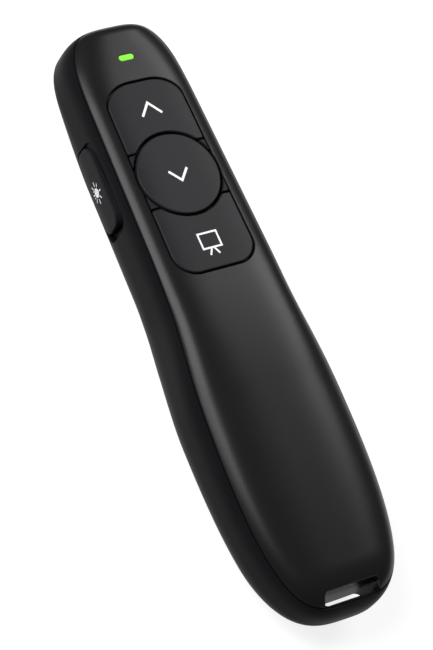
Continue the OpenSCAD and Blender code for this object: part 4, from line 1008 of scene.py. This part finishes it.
lens_loop = stadium_outline(lens_w, lens_t)
lens_brim = stadium_outline(lens_w + 2 * lens_reach[0], lens_t + 2 * lens_reach[1])
brim_low = case_h - wall - lens_flange_t
led_top = board_top - led_h - led_gap
lens_cap = cap_piece("lens_cap", lens_loop, lens_axes, brim_low, lens_edge, TOP_SPAN,
                     lift=-cap_sink, step=0.1)
lens_guide = in_metres(prism(dense(lens_loop, 0.2), lens_axes, case_h - led_top, brim_low), "guide")
lens_flange = in_metres(prism(dense(lens_brim), lens_axes, brim_low, case_h - wall), "lens_flange")
lens = piece(join("lens_cap", lens_cap, lens_guide, lens_flange), "case", "indicator_lens")

# ---------------------------------------------------------------- icons, printed on the keys


def unit(a, b):
    """Direction from a to b, and the normal on its left."""
    d = (b - a) / np.linalg.norm(b - a)
    return d, np.array([-d[1], d[0]])


def stroke(a, b, width):
    """A straight line as a quad in plan."""
    a, b = np.array(a, float), np.array(b, float)
    n = unit(a, b)[1] * width / 2
    return [a - n, b - n, b + n, a + n]


def chevron(apex, end, width):
    """Mitred chevron as two quads; end is its right tip."""
    apex, right = np.array(apex, float), np.array(end, float)
    up = 1 if apex[1] > right[1] else -1
    left = right * [-1, 1]
    miter = np.array([0, up * (width / 2) / abs(unit(apex, left)[0][0])])
    quads = []
    for tip in (left, right):
        n = unit(apex, tip)[1]
        n = -n if n[1] * up < 0 else n
        quads.append([apex + miter, tip + n * width / 2, tip - n * width / 2, apex - miter])
    return quads


def icon(name, shapes, axes, body_name, lift, span, part_l=0.5):
    """Flat shapes laid on the skin, a hair above it; quads are cut into short parts that follow it."""
    verts, faces = [], []
    for shape in shapes:
        parts = [shape]
        if len(shape) == 4:
            a, b, c, d = shape
            k = max(1, int(np.linalg.norm(b - a) / part_l))
            parts = [[a + (b - a) * (i / k), a + (b - a) * ((i + 1) / k),
                      d + (c - d) * ((i + 1) / k), d + (c - d) * (i / k)] for i in range(k)]
        for part in parts:
            faces.append(tuple(range(len(verts), len(verts) + len(part))))
            verts += list(part)
    v = np.array(verts)
    pts = place(v, axes, skin_height(v, axes, span) + lift)
    facing = [np.dot(np.cross(pts[f[1]] - pts[f[0]], pts[f[2]] - pts[f[0]]), axes[3]) > 0 for f in faces]
    mesh = bpy.data.meshes.new(name)
    mesh.from_pydata([tuple(p) for p in pts], [], [f if up else f[::-1] for f, up in zip(faces, facing)])
    for poly in mesh.polygons:
        poly.use_smooth = True
    obj = new_object(name, mesh)
    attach(obj, body_name)
    return obj


chevron_t, screen_t, ray_t, ICON_LIFT = 0.55, 0.42, 0.3, 0.012
# screen: half width, top, bottom, and each leg's start, end and foot height
screen_x, screen_top, screen_low, leg_x, foot_x, foot_y = 2.3, -14.85, -18.43, 0.35, 1.15, -20.1
edge = screen_t / 2
screen = [stroke((-screen_x - edge, y), (screen_x + edge, y), screen_t) for y in (screen_top, screen_low)]
screen += [stroke((x, screen_top - edge), (x, screen_low + edge), screen_t) for x in (-screen_x, screen_x)]
screen += [stroke((side * leg_x, screen_low - edge), (side * foot_x, foot_y), screen_t) for side in (-1, 1)]
# burst: a disc and rays, each with its angle and the distances at which it starts and ends
BURST = ((358, 1.45, 2.6), (36, 1.4, 2.3), (84, 1.3, 2.25), (138, 1.35, 2.2), (174, 1.45, 2.55),
         (215, 1.4, 2.5), (236, 1.45, 1.85), (264, 1.3, 2.15), (288, 1.5, 1.9), (315, 1.35, 2.4))
burst_r = 1.08
burst = [[(burst_r * math.cos(t), burst_r * math.sin(t)) for t in np.linspace(0, 2 * math.pi, 25)[:-1]]]
for degrees, near, tip in BURST:
    x, y = math.cos(math.radians(degrees)), math.sin(math.radians(degrees))
    burst.append(stroke((near * x, near * y), (tip * x, tip * y), ray_t))
burst = [np.array(shape) + np.array([-1.0, -side_shift[1]]) for shape in burst]
icons = [icon(name, shapes, key_axes, body_name, ICON_LIFT, TOP_SPAN) for name, shapes, body_name in (
    ("up_icon", chevron((0, 17.8), (2.45, 14.8), chevron_t), "up_key"),
    ("down_icon", chevron((0, -1.74), (2.3, 0.9), chevron_t), "down_key"),
    ("screen_icon", screen, "screen_key"))]
icons.append(icon("pointer_icon", burst, side_axes, "laser_key", side_lift + ICON_LIFT, WALL_SPAN))

# ---------------------------------------------------------------- pieces with their CAD form, edges softened


def softened(name, node, width, segments, body_name, least_turn=30):
    """A copy of a node's mesh with rounded edges."""
    bm = bmesh.new()
    bm.from_mesh(frame["nodes"][node].data)
    bmesh.ops.remove_doubles(bm, verts=bm.verts[:], dist=1e-7)
    bmesh.ops.dissolve_limit(bm, angle_limit=math.radians(1), verts=bm.verts[:], edges=bm.edges[:])
    least = math.radians(least_turn)
    edges = [e for e in bm.edges if len(e.link_faces) == 2 and e.calc_face_angle(0) > least]
    bmesh.ops.bevel(bm, geom=edges, offset=width * MM, offset_type="OFFSET", segments=segments, profile=0.5,
                    affect="EDGES", clamp_overlap=True)
    mesh = bpy.data.meshes.new(name)
    bm.to_mesh(mesh)
    bm.free()
    shade(mesh, 35)
    obj = bpy.data.objects.new(name, mesh)
    scene.collection.objects.link(obj)
    return piece(obj, body_name, node)


knob = softened("slide_knob", "power_switch_knob", 0.12, 2, "power_slide")
receiver = softened("receiver_grip", "receiver_body", 0.4, 3, "receiver")
plug = softened("receiver_shell", "receiver_plug", 0.08, 2, "receiver")

# ---------------------------------------------------------------- battery springs


def coil(start, toward, steps=40 * spring_turns, sides=12):
    """Tapering spring along Y, wide end first: a round wire swept along its turns."""
    rows = []
    for u in np.arange(steps + 1) / steps:
        r = spring_r - wire_r + (spring_tip_r - spring_r) * u
        a = 2 * math.pi * spring_turns * u
        out = np.array([math.cos(a), 0, -toward * math.sin(a)])
        centre = np.array(start) + r * out + [0, toward * (wire_r + (spring_l - 2 * wire_r) * u), 0]
        rows.append([centre + wire_r * (math.cos(b) * out + math.sin(b) * np.array([0, toward, 0]))
                     for b in np.linspace(0, 2 * math.pi, sides, endpoint=False)])
    return in_metres(loft(rows), "coil", 60)


springs = join("spring_coils", coil((-cell_x, bay_end + plate_t, cell_z), 1),
               coil((cell_x, bay_front - plate_t, cell_z), -1))
piece(springs, "case", "battery_springs")

# ---------------------------------------------------------------- materials


def add_node(tree, kind, inputs=None, **settings):
    """A shader node with its settings, and with constants on its sockets."""
    new = tree.nodes.new("ShaderNode" + kind)
    for setting, value in settings.items():
        setattr(new, setting, value)
    for socket, value in (inputs or {}).items():
        new.inputs[socket].default_value = value
    return new


def wire(tree, *pairs):
    for source, target in pairs:
        tree.links.new(source, target)


def material(name, color, rough, scale, strength, distance, spread=0.0, rough_spread=0.0, metallic=0.0,
             coat=0.0, specular=0.5, transmission=0.0):
    """Fine bump from noise, and where a spread is given, slight variation of colour and roughness."""
    mat = bpy.data.materials.new(name)
    mat.use_nodes = True
    tree = mat.node_tree
    bsdf = tree.nodes["Principled BSDF"]
    constants = {"Base Color": (*color, 1), "Roughness": rough, "Metallic": metallic,
                 "Coat Weight": coat, "Specular IOR Level": specular, "Transmission Weight": transmission}
    for socket, value in constants.items():
        bsdf.inputs[socket].default_value = value
    coord = add_node(tree, "TexCoord")
    fine = add_node(tree, "TexNoise", {"Scale": scale, "Detail": 3})
    bump = add_node(tree, "Bump", {"Strength": strength, "Distance": distance})
    wire(tree, (coord.outputs["Object"], fine.inputs["Vector"]), (fine.outputs["Fac"], bump.inputs["Height"]),
         (bump.outputs["Normal"], bsdf.inputs["Normal"]))
    if spread:
        broad = add_node(tree, "TexNoise", {"Scale": 60, "Detail": 4})
        tint = add_node(tree, "ValToRGB")
        for stop, position, share in zip(tint.color_ramp.elements, (0.3, 0.7), (1 - spread, 1 + spread)):
            stop.position = position
            stop.color = (*[c * share for c in color], 1)
        wire(tree, (coord.outputs["Object"], broad.inputs["Vector"]),
             (broad.outputs["Fac"], tint.inputs["Fac"]), (tint.outputs["Color"], bsdf.inputs["Base Color"]))
    if rough_spread:
        span = add_node(tree, "MapRange", {"To Min": rough - rough_spread, "To Max": rough + rough_spread})
        wire(tree, (fine.outputs["Fac"], span.inputs["Value"]),
             (span.outputs["Result"], bsdf.inputs["Roughness"]))
    return mat


PLASTIC = {"scale": 2500, "strength": 0.25, "distance": 0.00004, "spread": 0.06, "rough_spread": 0.03}
METAL = {"scale": 900, "strength": 0.15, "distance": 0.00003, "spread": 0.05, "rough_spread": 0.05,
         "metallic": 1.0}
CLEAR = {"scale": 1500, "strength": 0.1, "distance": 0.00003}
GLASS = {"scale": 600, "strength": 0.02, "distance": 0.00002}
INK = {"scale": 2500, "strength": 0.1, "distance": 0.00002}
# slot, kind, name, colour, roughness, and what differs from the kind
MATS = {slot: material(name, color, rough, **kind, **own) for slot, kind, name, color, rough, own in (
    ("cover", PLASTIC, "soft_touch_black", (0.0075, 0.0074, 0.0081), 0.29, {"specular": 0.15}),
    ("case", PLASTIC, "case_black", (0.0060, 0.0058, 0.0068), 0.4, {"specular": 0.03}),
    ("frame", PLASTIC, "frame_black", (0.0100, 0.0100, 0.0110), 0.5, {"specular": 0.1}),
    ("keys", PLASTIC, "key_black", (0.0130, 0.0128, 0.0145), 0.4, {"specular": 0.1}),
    ("pointer_key", PLASTIC, "pointer_key_black", (0.0130, 0.0128, 0.0145), 0.42, {"specular": 0.03}),
    ("knob", PLASTIC, "knob_grey", (0.055, 0.055, 0.06), 0.45, {}),
    ("switch_body", PLASTIC, "switch_black", (0.03, 0.03, 0.03), 0.4, {}),
    ("switch_stem", PLASTIC, "stem_ivory", (0.55, 0.5, 0.4), 0.4, {}),
    ("chip", PLASTIC, "chip_black", (0.02, 0.02, 0.02), 0.5, {}),
    ("board", PLASTIC, "board_green", (0.02, 0.16, 0.07), 0.3, {}),
    ("receiver", PLASTIC, "receiver_black", (0.03, 0.03, 0.032), 0.3, {}),
    ("plated_steel", METAL, "nickel", (0.62, 0.6, 0.57), 0.3, {}),
    ("brass", METAL, "brass", (0.65, 0.45, 0.18), 0.3, {}),
    ("plug", METAL, "plug_steel", (0.66, 0.66, 0.66), 0.28, {}),
    ("screw_steel", METAL, "zinc", (0.5, 0.5, 0.52), 0.35, {}),
    ("cell", METAL, "cell_sleeve", (0.6, 0.6, 0.62), 0.35, {}),
    ("lens_green", CLEAR, "indicator_green", (0.08, 0.30, 0.02), 0.35, {"specular": 0.1}),
    ("led", CLEAR, "led_clear", (0.9, 0.95, 0.8), 0.2, {}),
    ("clear_glass", GLASS, "lens_glass", (0.85, 0.92, 1.0), 0.05, {"transmission": 0.9}),
    ("dark_glass", GLASS, "window_dark", (0.06, 0.008, 0.01), 0.08, {"coat": 0.6}),
    ("ink", INK, "print_white", (0.78, 0.78, 0.8), 0.5, {}))}

# the lens is lit only where it shows, so that no light comes out of the seam
tree = MATS["lens_green"].node_tree
bsdf = tree.nodes["Principled BSDF"]
bsdf.inputs["Emission Color"].default_value = (0.30, 1.0, 0.07, 1)
coord, parts = add_node(tree, "TexCoord"), add_node(tree, "SeparateXYZ")
outside = add_node(tree, "Math", {1: (case_h - wall) * MM}, operation="GREATER_THAN")
glow = add_node(tree, "Math", {1: 0.6}, operation="MULTIPLY")
wire(tree, (coord.outputs["Object"], parts.inputs[0]), (parts.outputs["Z"], outside.inputs[0]),
     (outside.outputs[0], glow.inputs[0]), (glow.outputs[0], bsdf.inputs["Emission Strength"]))

for look, objs in {"cover": [cover], "case": [case, door], "keys": [up_key, down_key, screen_key],
                   "frame": [key_frame], "pointer_key": [pointer_key], "lens_green": [lens], "knob": [knob],
                   "receiver": [receiver], "plug": [plug], "plated_steel": [springs], "ink": icons}.items():
    for obj in objs:
        obj.data.materials.clear()
        obj.data.materials.append(MATS[look])
slot_of = {s["node"]: s["material_slot"] for s in frame["record"]["subparts"] if "material_slot" in s}
for name, obj in frame["nodes"].items():
    look = MATS.get(slot_of.get(name), MATS["case"])
    for s in obj.material_slots:
        s.material = look
    if not obj.material_slots:
        obj.data.materials.append(look)

# ---------------------------------------------------------------- floor, light and camera


def by_ray(tree, rays, others, seen, output):
    """Shows one shader to rays of the named kinds and another to the rest."""
    path = add_node(tree, "LightPath")
    total = path.outputs[rays[0]]
    for ray in rays[1:]:
        more = add_node(tree, "Math", operation="ADD", use_clamp=True)
        wire(tree, (total, more.inputs[0]), (path.outputs[ray], more.inputs[1]))
        total = more.outputs[0]
    mix = add_node(tree, "MixShader")
    out = add_node(tree, output)
    wire(tree, (total, mix.inputs[0]), (others.outputs[0], mix.inputs[1]), (seen.outputs[0], mix.inputs[2]),
         (mix.outputs[0], out.inputs["Surface"]))


def own_tree(block):
    """The empty node tree of a material or world."""
    block.use_nodes = True
    block.node_tree.nodes.clear()
    return block.node_tree


floor_half = 3
floor_mesh = bpy.data.meshes.new("floor")
floor_mesh.from_pydata([(x * floor_half, y * floor_half, 0) for x, y in ((-1, -1), (1, -1), (1, 1), (-1, 1))],
                       [], [(0, 1, 2, 3)])
floor = bpy.data.objects.new("floor", floor_mesh)
scene.collection.objects.link(floor)
floor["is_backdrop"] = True
floor_white = bpy.data.materials.new("floor_white")
floor_mesh.materials.append(floor_white)
tree = own_tree(floor_white)
diffuse = add_node(tree, "BsdfDiffuse", {"Color": (0.25, 0.25, 0.25, 1)})
emit = add_node(tree, "Emission", {"Strength": 0.82})
lit = add_node(tree, "AddShader")
wire(tree, (diffuse.outputs[0], lit.inputs[0]), (emit.outputs[0], lit.inputs[1]))
by_ray(tree, ("Is Camera Ray", "Is Glossy Ray", "Is Transmission Ray"), diffuse, lit, "OutputMaterial")

scene.world = bpy.data.worlds.new("studio")
tree = own_tree(scene.world)
soft = add_node(tree, "Background", {"Color": (1, 1, 1, 1), "Strength": 0.2})
white = add_node(tree, "Background", {"Strength": 1.0})
by_ray(tree, ("Is Camera Ray",), soft, white, "OutputWorld")


def area(name, location, width, height, energy, target=(0, 0, 0.01)):
    light = bpy.data.lights.new(name, "AREA")
    light.shape = "RECTANGLE"
    light.size, light.size_y = width, height
    light.energy = energy
    obj = bpy.data.objects.new(name, light)
    scene.collection.objects.link(obj)
    obj.location = location
    obj.rotation_euler = (Vector(target) - Vector(location)).to_track_quat("-Z", "Y").to_euler()


area("key_light", (0.44, 0.215, 0.525), 0.34, 0.22, 2.55)
area("left_light", (-0.39, 0.20, 0.49), 0.3, 0.46, 5.2)

# focal length in heights of the picture, the camera's place in metres and its turn in degrees
focal_share, camera_place = 3000 / 650, (-0.3080314, -0.1795256, 0.5574532)
camera_turn = (26.673977, -20.469615, -24.956315)
cam_data = bpy.data.cameras.new("camera")
cam_data.sensor_width = 36
cam_data.sensor_fit = "AUTO"
cam_data.lens = cam_data.sensor_width * focal_share
cam_data.clip_start, cam_data.clip_end = 0.01, 20
camera = bpy.data.objects.new("camera", cam_data)
scene.collection.objects.link(camera)
camera.location = camera_place
camera.rotation_euler = [math.radians(angle) for angle in camera_turn]
scene.camera = camera
scene.view_settings.view_transform = "Standard"


def plain(value):
    return [plain(v) for v in value] if hasattr(value, "__len__") else float(value)


{"cad": plain(cad_box), "visual": plain(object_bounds())}
